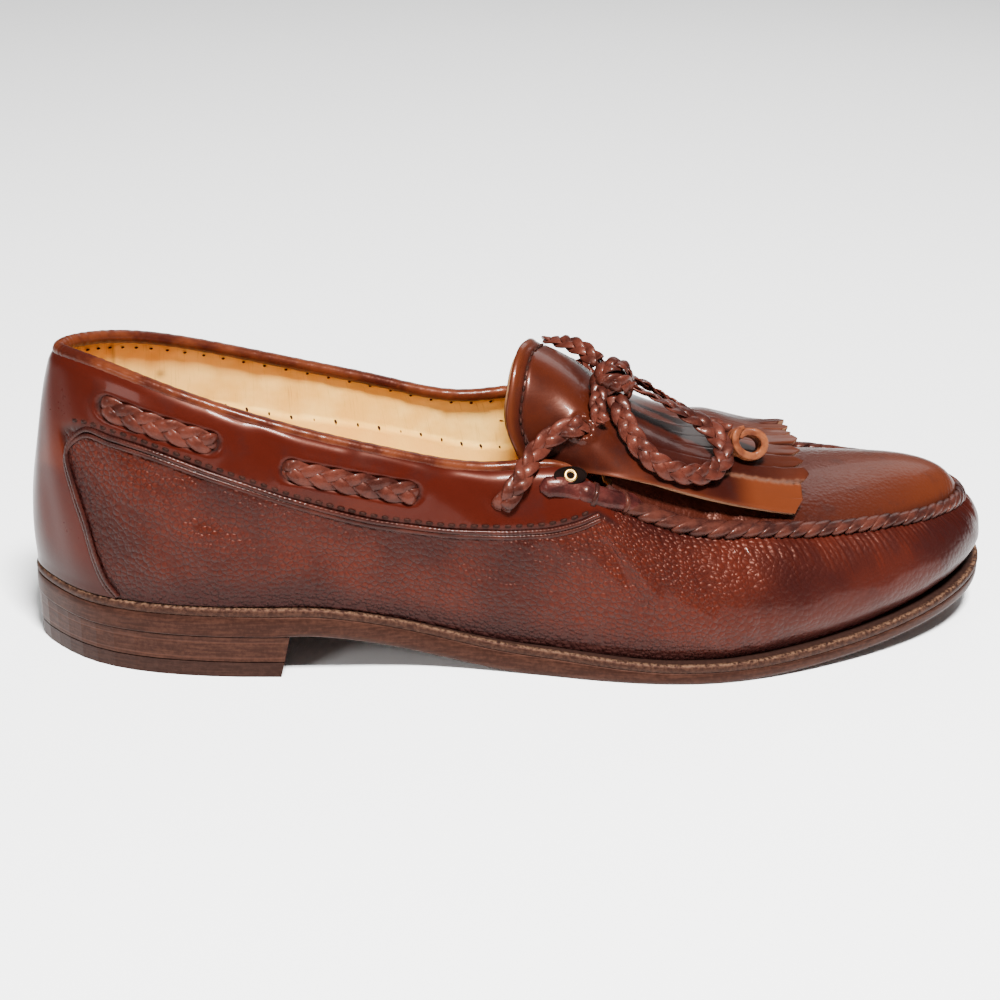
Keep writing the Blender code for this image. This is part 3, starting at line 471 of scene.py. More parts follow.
class Wire:
    """A shader socket that takes part in Python arithmetic: each sign adds a Math node."""

    def __init__(self, finish, socket):
        self.finish = finish
        self.socket = socket

    def maths(self, operation, *values, clamp=False):
        settings = {"operation": operation, "use_clamp": clamp}
        return self.finish.node("ShaderNodeMath", settings, dict(enumerate(values)))

    def __add__(self, other):
        return self.maths("ADD", self, other)

    __radd__ = __add__

    def __mul__(self, other):
        return self.maths("MULTIPLY", self, other)

    __rmul__ = __mul__

    def __sub__(self, other):
        return self.maths("SUBTRACT", self, other)

    def __rsub__(self, other):
        return self.maths("SUBTRACT", other, self)

    def __truediv__(self, other):
        return self.maths("DIVIDE", self, other)

    def __pow__(self, other):
        return self.maths("POWER", self, other)

    def clamp(self):
        return self.maths("ADD", self, 0.0, clamp=True)

    def step(self, low, high):
        """0 below low and 1 above high, smoothly between."""
        settings = {"interpolation_type": "SMOOTHSTEP"}
        sockets = {"Value": self, "From Min": low, "From Max": high}
        return self.finish.node("ShaderNodeMapRange", settings, sockets)


# Reflections of old waxed leather keep some of its own warmth
WARM_GLOSS = (1.0, 0.46, 0.34, 1.0)


class Finish:
    """One material under construction."""

    def __init__(self, name):
        self.material = bpy.data.materials.new(name)
        self.material.use_nodes = True
        self.tree = self.material.node_tree
        self.tree.nodes.clear()

    def node(self, kind, settings=None, sockets=None, out=0):
        """A node of this kind: its settings are set first, then the values or links of its sockets."""
        made = self.tree.nodes.new(kind)
        for key, value in (settings or {}).items():
            if key == "stops":
                self.set_stops(made.color_ramp, value)
            else:
                setattr(made, key, value)
        for key, value in (sockets or {}).items():
            if isinstance(value, Wire):
                self.tree.links.new(value.socket, made.inputs[key])
            else:
                made.inputs[key].default_value = value
        return Wire(self, made.outputs[out]) if made.outputs else None

    def set_stops(self, ramp, stops):
        while len(ramp.elements) < len(stops):
            ramp.elements.new(1.0)
        for element, (place, colour) in zip(ramp.elements, stops):
            element.position = place
            element.color = (*colour, 1) if isinstance(colour, tuple) else (colour,) * 3 + (1,)

    def place(self):
        return self.node("ShaderNodeTexCoord", out="Object")

    def uv(self):
        return self.node("ShaderNodeUVMap", {"uv_map": "UVMap"})

    def stretched(self, vector, scale):
        return self.node(
            "ShaderNodeVectorMath", {"operation": "MULTIPLY"}, {0: vector, 1: scale}
        )

    def attribute(self, name):
        return self.node("ShaderNodeAttribute", {"attribute_name": name}, out="Fac")

    def noise(self, vector, scale, detail=2.0, roughness=0.5):
        sockets = {"Vector": vector, "Scale": scale, "Detail": detail, "Roughness": roughness}
        return self.node("ShaderNodeTexNoise", None, sockets)

    def cells(self, vector, scale, feature="F1", randomness=1.0):
        settings = {"feature": feature}
        sockets = {"Vector": vector, "Scale": scale, "Randomness": randomness}
        return self.node("ShaderNodeTexVoronoi", settings, sockets)

    def mix(self, a, b, factor, blend="MIX"):
        settings = {"data_type": "RGBA", "blend_type": blend}
        a = a if isinstance(a, Wire) else (*a, 1)
        b = b if isinstance(b, Wire) else (*b, 1)
        return self.node("ShaderNodeMix", settings, {0: factor, 6: a, 7: b}, out=2)

    def bump(self, height, distance, strength=1.0, normal=None):
        sockets = {"Height": height, "Distance": distance, "Strength": strength}
        if normal is not None:
            sockets["Normal"] = normal
        return self.node("ShaderNodeBump", None, sockets)

    def done(self, colour, roughness, normal=None, **constants):
        """Joins the Principled shader: constants are set on its own sockets."""
        sockets = {"Base Color": colour, "Roughness": roughness}
        if normal is not None:
            sockets["Normal"] = normal
        for key, value in constants.items():
            sockets[key.replace("_", " ").title().replace("Ior", "IOR")] = value
        if not isinstance(colour, Wire):
            sockets["Base Color"] = (*colour, 1)
        shader = self.node("ShaderNodeBsdfPrincipled", None, sockets)
        self.node("ShaderNodeOutputMaterial", None, {"Surface": shader})
        return self.material


def new_piece(name, points, faces, material, replaces=(), smooth=True):
    """A piece of the shoe from places in the layout: it rides the root body and may stand for solids."""
    mesh = bpy.data.meshes.new(name)
    mesh.from_pydata((np.asarray(points) + SHIFT).tolist(), [], faces)
    mesh.materials.append(material)
    if smooth:
        mesh.shade_smooth()
    mesh.update()
    piece = bpy.data.objects.new(name, mesh)
    bpy.context.scene.collection.objects.link(piece)
    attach(piece, "root")
    if replaces:
        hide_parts(*replaces)
    return piece


def grid_faces(rows, columns, closed=False, start=0):
    """Quads of a grid whose rows follow one another, as an array of corners."""
    last = columns if closed else columns - 1
    i, j = np.meshgrid(np.arange(rows - 1), np.arange(last), indexing="ij")
    k = (j + 1) % columns
    corners = [i * columns + j, i * columns + k, (i + 1) * columns + k, (i + 1) * columns + j]
    return start + np.stack([c.ravel() for c in corners], axis=1)


def write_attribute(mesh, name, values):
    made = mesh.attributes.new(name, "FLOAT", "POINT")
    made.data.foreach_set("value", np.asarray(values, np.float32).ravel())


def write_uv(mesh, faces_uv):
    """UV map from one row of corner places for each face."""
    layer = mesh.uv_layers.new(name="UVMap")
    layer.data.foreach_set("uv", np.asarray(faces_uv, np.float32).ravel())


def grid_uv(across, up, closed=False):
    """Corner places of a grid's faces, in metres: across has one more column than the grid where it is closed."""
    a, b = np.broadcast_arrays(across, up)
    if not closed:
        corners = [(a[:-1, :-1], b[:-1, :-1]), (a[:-1, 1:], b[:-1, 1:])]
        corners += [(a[1:, 1:], b[1:, 1:]), (a[1:, :-1], b[1:, :-1])]
    else:
        corners = [(a[:-1, :-1], b[:-1, :-1]), (a[:-1, 1:], b[:-1, 1:])]
        corners += [(a[1:, 1:], b[1:, 1:]), (a[1:, :-1], b[1:, :-1])]
    return np.stack([np.stack([u.ravel(), w.ravel()], axis=1) for u, w in corners], axis=1)


def sweep(path, normals, section, closed=False):
    """Places of a tube along a path: section gives (across, up) for each step as an array of rows."""
    path, normals = np.asarray(path, float), np.asarray(normals, float)
    if closed:
        along = np.roll(path, -1, axis=0) - np.roll(path, 1, axis=0)
    else:
        along = np.gradient(path, axis=0)
    along = unit(along)
    over = unit(np.cross(normals, along))
    up = np.cross(along, over)
    section = np.broadcast_to(section, (len(path), *np.shape(section)[-2:]))
    return path[:, None] + section[..., :1] * over[:, None] + section[..., 1:] * up[:, None]


def round_section(width, height, sides):
    """An oval section, its width across and its height up."""
    turn = 2 * math.pi * np.arange(sides) / sides
    return np.stack([np.cos(turn) * width / 2, np.sin(turn) * height / 2], axis=1)


class Collected:
    """Gathers tubes and lumps into the places and faces of one piece."""

    def __init__(self):
        self.points = []
        self.faces = []
        self.count = 0

    def add(self, points, faces):
        points = np.asarray(points, float).reshape(-1, 3)
        self.points.append(points)
        self.faces += [[corner + self.count for corner in face] for face in faces]
        self.count += len(points)

    def tube(self, rings, closed=False):
        """A tube from rings of places, with its ends filled unless it is closed."""
        rings = np.asarray(rings)
        if closed:
            rings = np.concatenate([rings, rings[:1]])
        steps, sides = rings.shape[:2]
        faces = grid_faces(steps, sides, closed=True).tolist()
        if closed:
            total = (steps - 1) * sides
            faces = [[corner % total for corner in face] for face in faces]
            rings = rings[:-1]
        else:
            faces.append(list(range(sides))[::-1])
            faces.append(list(range((steps - 1) * sides, steps * sides)))
        self.add(rings, faces)

    def all_points(self):
        return np.concatenate(self.points)


def braid_rings(path, normals, width, thick, pitch, size=None):
    """Three flat strands plaited along a path: one list of rings for each strand."""
    path = np.asarray(path, float)
    steps = np.append(0, np.cumsum(np.linalg.norm(np.diff(path, axis=0), axis=1)))
    along = unit(np.gradient(path, axis=0))
    over = unit(np.cross(normals, along))
    up = np.cross(along, over)
    size = np.ones(len(path)) if size is None else np.asarray(size)
    swing, strand = 0.26 * width, 0.54 * width
    rise, strand_thick = 0.22 * thick, 0.38 * thick
    period = 3 * pitch
    found = []
    for k in range(3):
        phase = 2 * math.pi * (steps / period + k / 3)
        side = np.sin(phase) * swing * size
        lift = np.sin(2 * phase) * rise * size
        centre = path + over * side[:, None] + up * lift[:, None]
        sides = 10
        section = round_section(strand, strand_thick, sides)[None] * size[:, None, None]
        found.append(sweep(centre, up, section))
    return found


def make_camera():
    data = bpy.data.cameras.new("camera")
    camera = bpy.data.objects.new("camera", data)
    bpy.context.scene.collection.objects.link(camera)
    azimuth, elevation, roll = map(math.radians, (AZIMUTH, ELEVATION, ROLL))
    back = Vector(
        (
            math.sin(azimuth) * math.cos(elevation),
            -math.cos(azimuth) * math.cos(elevation),
            math.sin(elevation),
        )
    )
    right = (-back).cross(Vector((0, 0, 1))).normalized()
    up = right.cross(-back)
    across = right * math.cos(roll) + up * math.sin(roll)
    above = up * math.cos(roll) - right * math.sin(roll)
    turn = Matrix((across, above, back)).transposed().to_4x4()
    place = Vector(TARGET) + Vector(SHIFT) + back * DISTANCE
    camera.matrix_world = Matrix.Translation(place) @ turn
    data.sensor_width = SENSOR
    data.lens = FOCAL_PIXELS * SENSOR / IMAGE_PIXELS
    data.clip_start, data.clip_end = 0.05, 20
    bpy.context.scene.camera = camera


def make_light(name, place, aim, size, power, colour=(1, 1, 1)):
    data = bpy.data.lights.new(name, "AREA")
    data.shape = "RECTANGLE"
    data.size, data.size_y = size
    data.energy = power
    data.color = colour
    light = bpy.data.objects.new(name, data)
    light.location = place
    light.rotation_mode = "QUATERNION"
    light.rotation_quaternion = (Vector(aim) - Vector(place)).to_track_quat("-Z", "Y")
    bpy.context.scene.collection.objects.link(light)


def make_studio():
    world = bpy.data.worlds.new("studio")
    world.use_nodes = True
    world.node_tree.nodes["Background"].inputs["Color"].default_value = (1, 1, 1, 1)
    world.node_tree.nodes["Background"].inputs["Strength"].default_value = 0.20
    bpy.context.scene.world = world
    make_light("key", (0.05, -0.55, 1.15), (0.05, 0, 0.05), (0.26, 0.18), 84)
    make_light("left", (-0.9, -0.7, 0.55), (0, 0, 0.05), (0.3, 0.3), 5)
    make_light("rim", (0.5, 0.9, 0.8), (0, 0, 0.05), (0.8, 0.5), 5)
    mesh = bpy.data.meshes.new("floor")
    half = 6.0
    corners = [(-half, -half, 0), (half, -half, 0), (half, half, 0), (-half, half, 0)]
    mesh.from_pydata(corners, [], [(0, 1, 2, 3)])
    finish = Finish("floor paper")
    tone = finish.noise(finish.place(), 3.0)
    colour = finish.mix((0.93, 0.93, 0.925), (0.96, 0.96, 0.955), tone)
    mesh.materials.append(finish.done(colour, 0.8))
    floor = bpy.data.objects.new("floor", mesh)
    bpy.context.scene.collection.objects.link(floor)


# Seams on the outer wall, as (x, z) in millimetres
COLLAR_SEAM = [
    (11.8, 72.1),
    (17.5, 73.3),
    (25.2, 72.7),
    (39.3, 69.7),
    (50.5, 66.1),
    (64.5, 61.6),
    (75.8, 57.8),
    (87.8, 54.1),
    (98.2, 51.1),
    (109.3, 48.9),
    (118.4, 47.4),
    (133.9, 46.5),
    (143.1, 46.8),
    (152.2, 48.0),
    (159.4, 50.1),
    (165.6, 52.4),
]
COUNTER_SEAM = [
    (10.6, 71.8),
    (12.3, 65.6),
    (14.4, 54.9),
    (17.1, 45.9),
    (19.3, 36.4),
    (22.0, 28.8),
    (25.4, 24.0),
]
LINING_SEAM = [(30.0, 67.0), (56.5, 62.1), (79.1, 56.5), (121.9, 49.2), (152.7, 42.9)]

# A worn spot on the lining, in mm, and the place of its upright join at the heel
LINING_MARK = (39.0, 24.5, 74.5)
LINING_JOIN = 25.5 * MM

# Creases of wear in the wall: x, z of both ends in mm, how far over the crease reaches, and its depth
Crease = namedtuple("Crease", "x_a z_a x_b z_b reach deep")
WALL_CREASES = [
    Crease(168, 44, 184, 20, 3.2, 0.55),
    Crease(179, 42, 190, 18, 2.6, 0.40),
    Crease(196, 37, 205, 15, 3.4, 0.50),
    Crease(211, 36, 217, 14, 2.4, 0.35),
    Crease(150, 40, 160, 22, 3.6, 0.45),
    Crease(120, 40, 150, 30, 5.0, 0.50),
    Crease(52, 52, 92, 37, 6.0, 0.55),
    Crease(35, 50, 50, 28, 5.0, 0.45),
    Crease(60, 84, 75, 68, 4.0, 0.40),
    Crease(120, 66, 134, 52, 4.0, 0.40),
    Crease(96, 70, 112, 62, 3.0, 0.25),
]


def seam_table(places, side=-1):
    """Stations and levels of places (x, z) in millimetres on the wall."""
    return np.array([on_wall(x * MM, z * MM, side) for x, z in places])


COLLAR_TABLE = seam_table(COLLAR_SEAM)
COUNTER_TABLE = seam_table(COUNTER_SEAM)
WALL_COLUMNS, WALL_ROWS = 860, 78


def collar_level(at):
    """Level of the collar's seam at a station, the same on both sides."""
    return np.interp(from_heel(at), COLLAR_TABLE[:, 0], COLLAR_TABLE[:, 1])


def counter_station(v):
    """Station of the counter's seam at a level."""
    order = np.argsort(COUNTER_TABLE[:, 1])
    return np.interp(v, COUNTER_TABLE[order, 1], COUNTER_TABLE[order, 0])


def trough(distance, reach):
    """A soft hollow with slightly raised sides: 1 at its middle."""
    share = distance / reach
    return np.exp(-(share**2) * 2.2) - 0.35 * np.exp(-((np.abs(share) - 1.5) ** 2) * 2.0)


def segment_distance(places, a, b):
    """Distance of places from the line between a and b, and how far along it they lie, 0 to 1."""
    a, b = np.array(a, float), np.array(b, float)
    along = np.clip(((places - a) @ (b - a)) / ((b - a) @ (b - a)), 0, 1)
    nearest = a + along[..., None] * (b - a)
    return np.linalg.norm(places - nearest, axis=-1), along


def wall_shape(at, v):
    """Displaced places of the upper's wall with its masks: smooth pieces, seam shade, puckers and windows."""
    base, normal = wall_points(at, v), wall_normals(at, v)
    height = 0.055
    round_step = 0.021
    over_collar = (v - collar_level(at)) * height
    behind_counter = (counter_station(v) - from_heel(at)) * round_step
    gap = over_collar - behind_counter
    edge = (over_collar + behind_counter + np.sqrt(gap**2 + (4 * MM) ** 2)) / 2
    edge = np.where(np.maximum(over_collar, behind_counter) > 4 * MM, 4 * MM, edge - 0.4 * MM)
    front_end = smoothstep((8.9 - from_heel(at)) / 0.25)
    smooth = smoothstep(0.5 + edge / (1.6 * MM)) * front_end
    # line: the groove beside the piping, which the upper's material paints dark as painted shade
    line = np.exp(-((edge / (1.1 * MM)) ** 2)) * front_end
    moved = 0.35 * MM * smoothstep(0.5 + edge / (1.5 * MM)) * front_end - 0.35 * MM * line
    plan = base[..., [0, 2]]
    outer = (at < TOE) & (normal[..., 1] < 0.3)
    for crease in WALL_CREASES:
        away, along = segment_distance(
            plan,
            (crease.x_a * MM, crease.z_a * MM),
            (crease.x_b * MM, crease.z_b * MM),
        )
        moved = moved - trough(away, crease.reach * MM) * crease.deep * MM * np.where(
            from_heel(at) < 13, 1.0, 0.0
        )
    # the sunk slots under the lace passes, which the upper's material paints dark as painted shade
    window = np.zeros_like(moved)
    for row in LACE_PASSES:
        a = (row.x_rear * LENGTH, row.z_rear * BACK_HEIGHT)
        b = (row.x_front * LENGTH, row.z_front * BACK_HEIGHT)
        away, along = segment_distance(plan, a, b)
        inside = smoothstep((3.5 * MM - away) / (0.8 * MM))
        lip = np.exp(-(((away - 4.3 * MM) / (1.3 * MM)) ** 2))
        window = np.maximum(window, inside)
        moved = moved - inside * 0.9 * MM + lip * 0.22 * MM
    # Puckers fan down from the moccasin seam, each with its own length and depth
    perimeter = at * 0.0203
    down = (1 - v) * (base[..., 2] * 0 + 0.045)
    seam_zone = smoothstep((from_heel(at) - 9.0) / 0.6)
    lean = np.where(at < TOE, 0.0, 0.0)
    turn = 2 * math.pi * (perimeter + lean * down) / (2.3 * MM)
    wander = 1.3 * np.sin(at * 3.1) + 0.8 * np.sin(at * 7.7 + 1.0) + 0.5 * np.sin(at * 19.3 + 2.0)
    ridges = np.sin(turn + wander + 30 * down)
    long_ones = 0.5 + 0.5 * np.sin(at * 5.9 + 0.7) * np.sin(at * 13.7)
    fade = np.exp(-((down / (5.5 * MM + 9.0 * MM * long_ones)) ** 2))
    pucker = seam_zone * fade
    near = np.exp(-((down / (3.0 * MM)) ** 2)) * seam_zone
    moved = moved + pucker * ridges * 0.36 * MM - near * 0.5 * MM
    over_top = np.clip((v - 0.90) / 0.10, 0, 1) ** 2 * collar_share(at)
    moved = moved - 1.2 * MM * over_top
    foot_roll = np.exp(-((v * height / (1.4 * MM)) ** 2))
    moved = moved + 0.25 * MM * foot_roll
    rough = (
        np.sin(at * 2.9 + 3.1 * v) * np.sin(v * 7.0 + at)
        + 0.6 * np.sin(at * 6.1 + 1.3) * np.sin(v * 11.0 + 2 * at)
    )
    moved = moved + rough * 0.22 * MM * np.clip(4 * v * (1 - v), 0, 1)
    masks = {
        "smooth": smooth,
        "seam": line,
        "pucker": pucker * (0.5 + 0.5 * ridges),
        "window": window,
        "level": v + 0 * moved,
        "front": smoothstep((from_heel(at) - 8.5) / 4.0),
    }
    return base + normal * moved[..., None], masks, outer


def make_upper(material):
    at = np.linspace(0, ROUND, WALL_COLUMNS, endpoint=False)
    v = np.linspace(0, 1, WALL_ROWS)
    at_grid, v_grid = np.meshgrid(at, v)
    points, masks, _ = wall_shape(at_grid, v_grid)
    faces = grid_faces(WALL_ROWS, WALL_COLUMNS, closed=True)
    piece = new_piece(
        "upper_wall",
        points.reshape(-1, 3),
        faces.tolist(),
        material,
        ["upper"],
    )
    for name, values in masks.items():
        write_attribute(piece.data, name, values)
    middle = wall_points(np.append(at, ROUND), 0.45)
    round_length = np.append(0, np.cumsum(np.linalg.norm(np.diff(middle, axis=0), axis=1)))
    heights = np.linalg.norm(np.diff(points, axis=0), axis=2)
    up = np.concatenate([np.zeros((1, WALL_COLUMNS)), np.cumsum(heights, axis=0)])
    up = np.concatenate([up, up[:, :1]], axis=1)
    write_uv(piece.data, grid_uv(round_length[None, :], up))
    return piece


def make_plug(material):
    """The plug between the throat and the toe, inside the moccasin seam."""
    station = np.linspace(THROAT + 0.02, TOE - 0.06, 150)
    across = np.linspace(-1, 1, 110)
    s_grid, a_grid = np.meshgrid(station, across, indexing="ij")
    points, normals = plug_points(s_grid, a_grid), plug_normals(s_grid, a_grid)
    half = np.abs(points[:, -1, 1] - points[:, 0, 1])[:, None] / 2
    edge = np.minimum((1 - np.abs(a_grid)) * half, (TOE - s_grid) * 9 * MM)
    near = np.exp(-((edge / (2.5 * MM)) ** 2))
    wave = np.sin(2 * math.pi * s_grid * 19 * MM / (2.4 * MM) + 2 * np.sin(3 * s_grid))
    fade = np.exp(-((edge / (7 * MM)) ** 2))
    moved = wave * fade * 0.14 * MM - near * 0.55 * MM
    for x, deep, reach in [(196, 0.5, 3.2), (205, 0.35, 2.6), (214, 0.25, 3.0)]:
        moved = moved - trough(points[..., 0] - x * MM - 6 * a_grid**2 * MM, reach * MM) * deep * MM
    points = points + normals * moved[..., None]
    piece = new_piece(
        "upper_plug",
        points.reshape(-1, 3),
        grid_faces(*s_grid.shape)[:, ::-1].tolist(),
        material,
    )
    write_attribute(piece.data, "edge", near)
    write_attribute(piece.data, "toe", smoothstep((s_grid - 11.5) / 4.5))
    write_uv(piece.data, grid_uv(a_grid * half, points[:, 55:56, 0] + 0 * a_grid)[:, ::-1])
    return piece


def make_lining(leather, binding):
    """The lining inside the quarters, and the roll of leather that binds the topline."""
    at = np.linspace(-8.6, 8.6, 520) % ROUND
    v = np.linspace(0.02, 0.99, 60)
    a_grid, v_grid = np.meshgrid(at, v)
    points = wall_points(a_grid, v_grid) - wall_normals(a_grid, v_grid) * (WALL + 0.1 * MM)
    wave = 0.25 * MM * np.sin(a_grid * 9.0 + 2 * v_grid) * np.sin(a_grid * 4.3)
    seam = seam_table(LINING_SEAM, 1)
    order = np.argsort(seam[:, 0])
    line = np.interp(a_grid, seam[order, 0], seam[order, 1])
    line = np.where(a_grid > TOE, line, collar_level(a_grid))
    ledge = 0.7 * MM * smoothstep(0.5 + (line - v_grid) * 0.055 / (0.9 * MM))
    points = points - wall_normals(a_grid, v_grid) * (wave + ledge)[..., None]
    piece = new_piece(
        "lining",
        points.reshape(-1, 3),
        grid_faces(*a_grid.shape)[:, ::-1].tolist(),
        leather,
    )
    write_attribute(piece.data, "band", smoothstep(0.5 + (line - v_grid) * 0.055 / (0.8 * MM)))
    write_attribute(piece.data, "level", v_grid)
    far = a_grid > TOE
    spot = np.linalg.norm(points - np.array(LINING_MARK) * MM, axis=-1)
    join = np.exp(-(((points[..., 0] - LINING_JOIN) / (0.55 * MM)) ** 2)) * (v_grid > 0.8) * far
    write_attribute(piece.data, "mark", np.maximum(0.55 * join, np.exp(-((spot / (1.5 * MM)) ** 2))))
    unrolled = np.append(0, np.cumsum(np.linalg.norm(np.diff(points[17], axis=0), axis=1)))
    write_uv(piece.data, grid_uv(unrolled[None, :] + 0 * v_grid, v_grid * 0.06)[:, ::-1])
    # the stitches of the lining's lower seam, and those under the binding
    stitches = Collected()
    for place in np.arange(ROUND - 7.6, ROUND - 1.2, 0.26):
        for level, tilt in ((np.interp(place, seam[order, 0], seam[order, 1]), 0.35), (0.915, -0.45)):
            centre = wall_points(place, level) - wall_normals(place, level) * (WALL + 0.35 * MM)
            along = unit(wall_points(place + 0.05, level) - centre)
            up = np.array([0, 0, 1.0])
            way = unit(along * (1 - abs(tilt)) + up * tilt)
            half = 0.8 * MM
            path = centre + way * np.linspace(-half, half, 5)[:, None]
            size = np.array([0.3, 0.9, 1.0, 0.9, 0.3])
            section = round_section(0.9 * MM, 0.6 * MM, 6)[None] * size[:, None, None]
            normal = np.broadcast_to(-wall_normals(place, level), path.shape)
            stitches.tube(sweep(path, normal, section))
    new_piece(
        "lining_stitches",
        stitches.all_points(),
        stitches.faces,
        THREAD,
    )
    # the binding: a roll over the topline from one throat corner round the heel to the other
    at = np.linspace(-8.35, 8.35, 420)
    top = wall_points(at % ROUND, 1.0)
    normal = wall_normals(at % ROUND, 1.0)
    flat = unit(np.cross(np.gradient(top, axis=0), np.array([0, 0, 1.0])))
    flat = np.where((flat * normal).sum(axis=1, keepdims=True) < 0, -flat, flat)
    size = np.clip((8.35 - np.abs(at)) / 0.8, 0.05, 1) ** 0.5
    ripple = 1 + 0.035 * np.sin(at * 31) * np.sin(at * 5.3)
    turn = 2 * math.pi * np.arange(20) / 20
    ring = np.stack([np.cos(turn), np.sin(turn)], axis=1)
    radius = (0.5 * ROLL_THICK * size * ripple)[:, None, None]
    centre = top - flat * (0.475 * ROLL_THICK) - np.array([0, 0, 1.0]) * 0.17 * ROLL_THICK
    offsets = ring[None] * radius * np.array([0.98, 1.02])
    rings = centre[:, None] + offsets[..., :1] * flat[:, None]
    rings = rings + offsets[..., 1:] * np.array([0, 0, 1.0])
    roll = Collected()
    roll.tube(rings[:, ::-1])
    piece = new_piece("topline_roll", roll.all_points(), roll.faces, binding)
    return piece


def seam_path(table, v_step=0.0, out=0.0, count=400):
    """A line on the wall through a table of stations and levels, with the normals along it."""
    stations = np.stack([table[:, 0], table[:, 1] + v_step], axis=1)
    fine = smooth_line(stations * np.array([0.0203, 0.055]), count) / np.array([0.0203, 0.055])
    points = wall_points(fine[:, 0], fine[:, 1])
    normals = wall_normals(fine[:, 0], fine[:, 1])
    return points + normals * out, normals


def make_seams(bead_leather, thread):
    """The piping of the collar's seam with its stitches, and the counter's double line."""
    bead, stitches = Collected(), Collected()
    for side in (-1, 1):
        table = COLLAR_TABLE.copy()
        counter = COUNTER_TABLE.copy()
        if side > 0:
            table[:, 0] = ROUND - table[:, 0]
            counter[:, 0] = ROUND - counter[:, 0]
        for shift, out in ((0.0, 0.32), (-0.030, 0.05)):
            corner = np.concatenate([counter[:0:-1], table[1:]])
            corner[: len(counter) - 1, 0] += 1.2 * shift * side * -1
            points, normals = seam_path(corner, shift * 0.8, out * MM, 560)
            ripple = 1 + 0.08 * np.sin(np.arange(len(points)) * 1.9)
            section = round_section(1.5 * MM, 1.1 * MM, 10)[None] * ripple[:, None, None]
            bead.tube(sweep(points, normals, section))
        lines = [(table, 0.036, 3.3 * MM, 0.25)]
        for rows, v_step, pitch, out in lines:
            points, normals = seam_path(rows, v_step, out * MM, 1400)
            stitches_along(stitches, points, normals, pitch, 2.4 * MM, 1.0 * MM)
    new_piece("collar_bead", bead.all_points(), bead.faces, bead_leather)
    new_piece("collar_stitches", stitches.all_points(), stitches.faces, thread)


def stitches_along(into, points, normals, pitch, length, thick):
    """Stitches of one length at even steps along a line of places."""
    stops = np.append(0, np.cumsum(np.linalg.norm(np.diff(points, axis=0), axis=1)))
    for start in np.arange(pitch, stops[-1] - length, pitch):
        rows = np.linspace(start, start + length, 6)
        path = np.stack([np.interp(rows, stops, points[:, k]) for k in range(3)], axis=1)
        up = np.stack([np.interp(rows, stops, normals[:, k]) for k in range(3)], axis=1)
        dip = np.array([-0.5, 0.15, 0.3, 0.3, 0.15, -0.5])[:, None]
        size = np.array([0.5, 0.9, 1.0, 1.0, 0.9, 0.5])[:, None, None]
        section = round_section(thick, thick * 0.7, 6)[None] * size
        into.tube(sweep(path + unit(up) * dip * thick, up, section))


def moc_line(at):
    """The line along the ridge of the moccasin seam, with its normals."""
    tops = LAST(at)[..., [TOP_X, TOP_Y, TOP_Z]]
    normals = seam_normals(at)
    share = smoothstep((THROAT + 1.8 - from_heel(at)) / 0.8)
    bead = SEAM_BEAD + (SEAM_END_BEAD - SEAM_BEAD) * share
    return tops + normals * (0.30 * bead)[..., None], normals, bead


def make_moc_seam(leather, thread):
    """The rolled seam: a core of leather whipped with slanted strands of the same leather."""
    at = np.linspace(THROAT - 0.15, ROUND - THROAT + 0.15, 900)
    points, normals, bead = moc_line(at)
    stops = np.append(0, np.cumsum(np.linalg.norm(np.diff(points, axis=0), axis=1)))
    core = Collected()
    turn = 2 * math.pi * np.arange(14) / 14
    ring = np.stack([np.cos(turn), np.sin(turn)], axis=1)
    section = ring[None] * (0.95 * bead)[:, None, None] * np.array([1.0, 0.78])
    core.tube(sweep(points, normals, section))
    new_piece("moc_core", core.all_points(), core.faces, leather)
    wraps = Collected()
    place = 13 * MM
    count = 0
    total = stops[-1]
    while place < total - 3 * MM:
        far = min(place, total - place)
        toe_share = smoothstep((far / total - 0.10) / 0.30)
        pitch = (5.6 - 1.7 * float(toe_share)) * MM
        spread = (3.1 - 0.95 * float(toe_share)) * MM
        reach = (2.65 - 0.75 * float(toe_share)) * MM
        steps = 15
        angles = np.linspace(-1.75, 1.75, steps)
        arc = place - 1.05 * pitch * np.sin(angles * 0.8)
        centre = np.stack([np.interp(arc, stops, points[:, k]) for k in range(3)], axis=1)
        up = unit(np.stack([np.interp(arc, stops, normals[:, k]) for k in range(3)], axis=1))
        along = unit(np.stack([np.interp(arc, stops, np.gradient(points[:, k])) for k in range(3)], axis=1))
        over = unit(np.cross(up, along))
        jitter = 1 + 0.07 * math.sin(count * 2.4) + 0.05 * math.sin(count * 5.1 + 1)
        path = centre - over * (np.sin(angles) * reach * jitter)[:, None]
        path = path + up * ((np.cos(angles) - 0.15) * reach * 0.72 * jitter)[:, None]
        outwards = unit(up * np.cos(angles)[:, None] - over * np.sin(angles)[:, None])
        size = (0.55 + 0.45 * np.cos(angles * 0.85)).clip(0.15, 1)[:, None, None]
        section = round_section(1.25 * spread, 0.62 * spread, 10)[None] * size
        wraps.tube(sweep(path, outwards, section))
        place += pitch
        count += 1
    new_piece("moc_wraps", wraps.all_points(), wraps.faces, thread)


def plug_station_at(x):
    return halve(lambda station: plug_points(station, 0.0)[0] - x, float(THROAT), TOE - 0.1)


# Holes of the lace in the kiltie, as (x, z) in millimetres with their side
LACE_HOLES = [(162.6, 73.6, -1), (173.0, 72.0, 1)]
SLIT_START, TONGUE_WIDTH = 188 * MM, 0.87


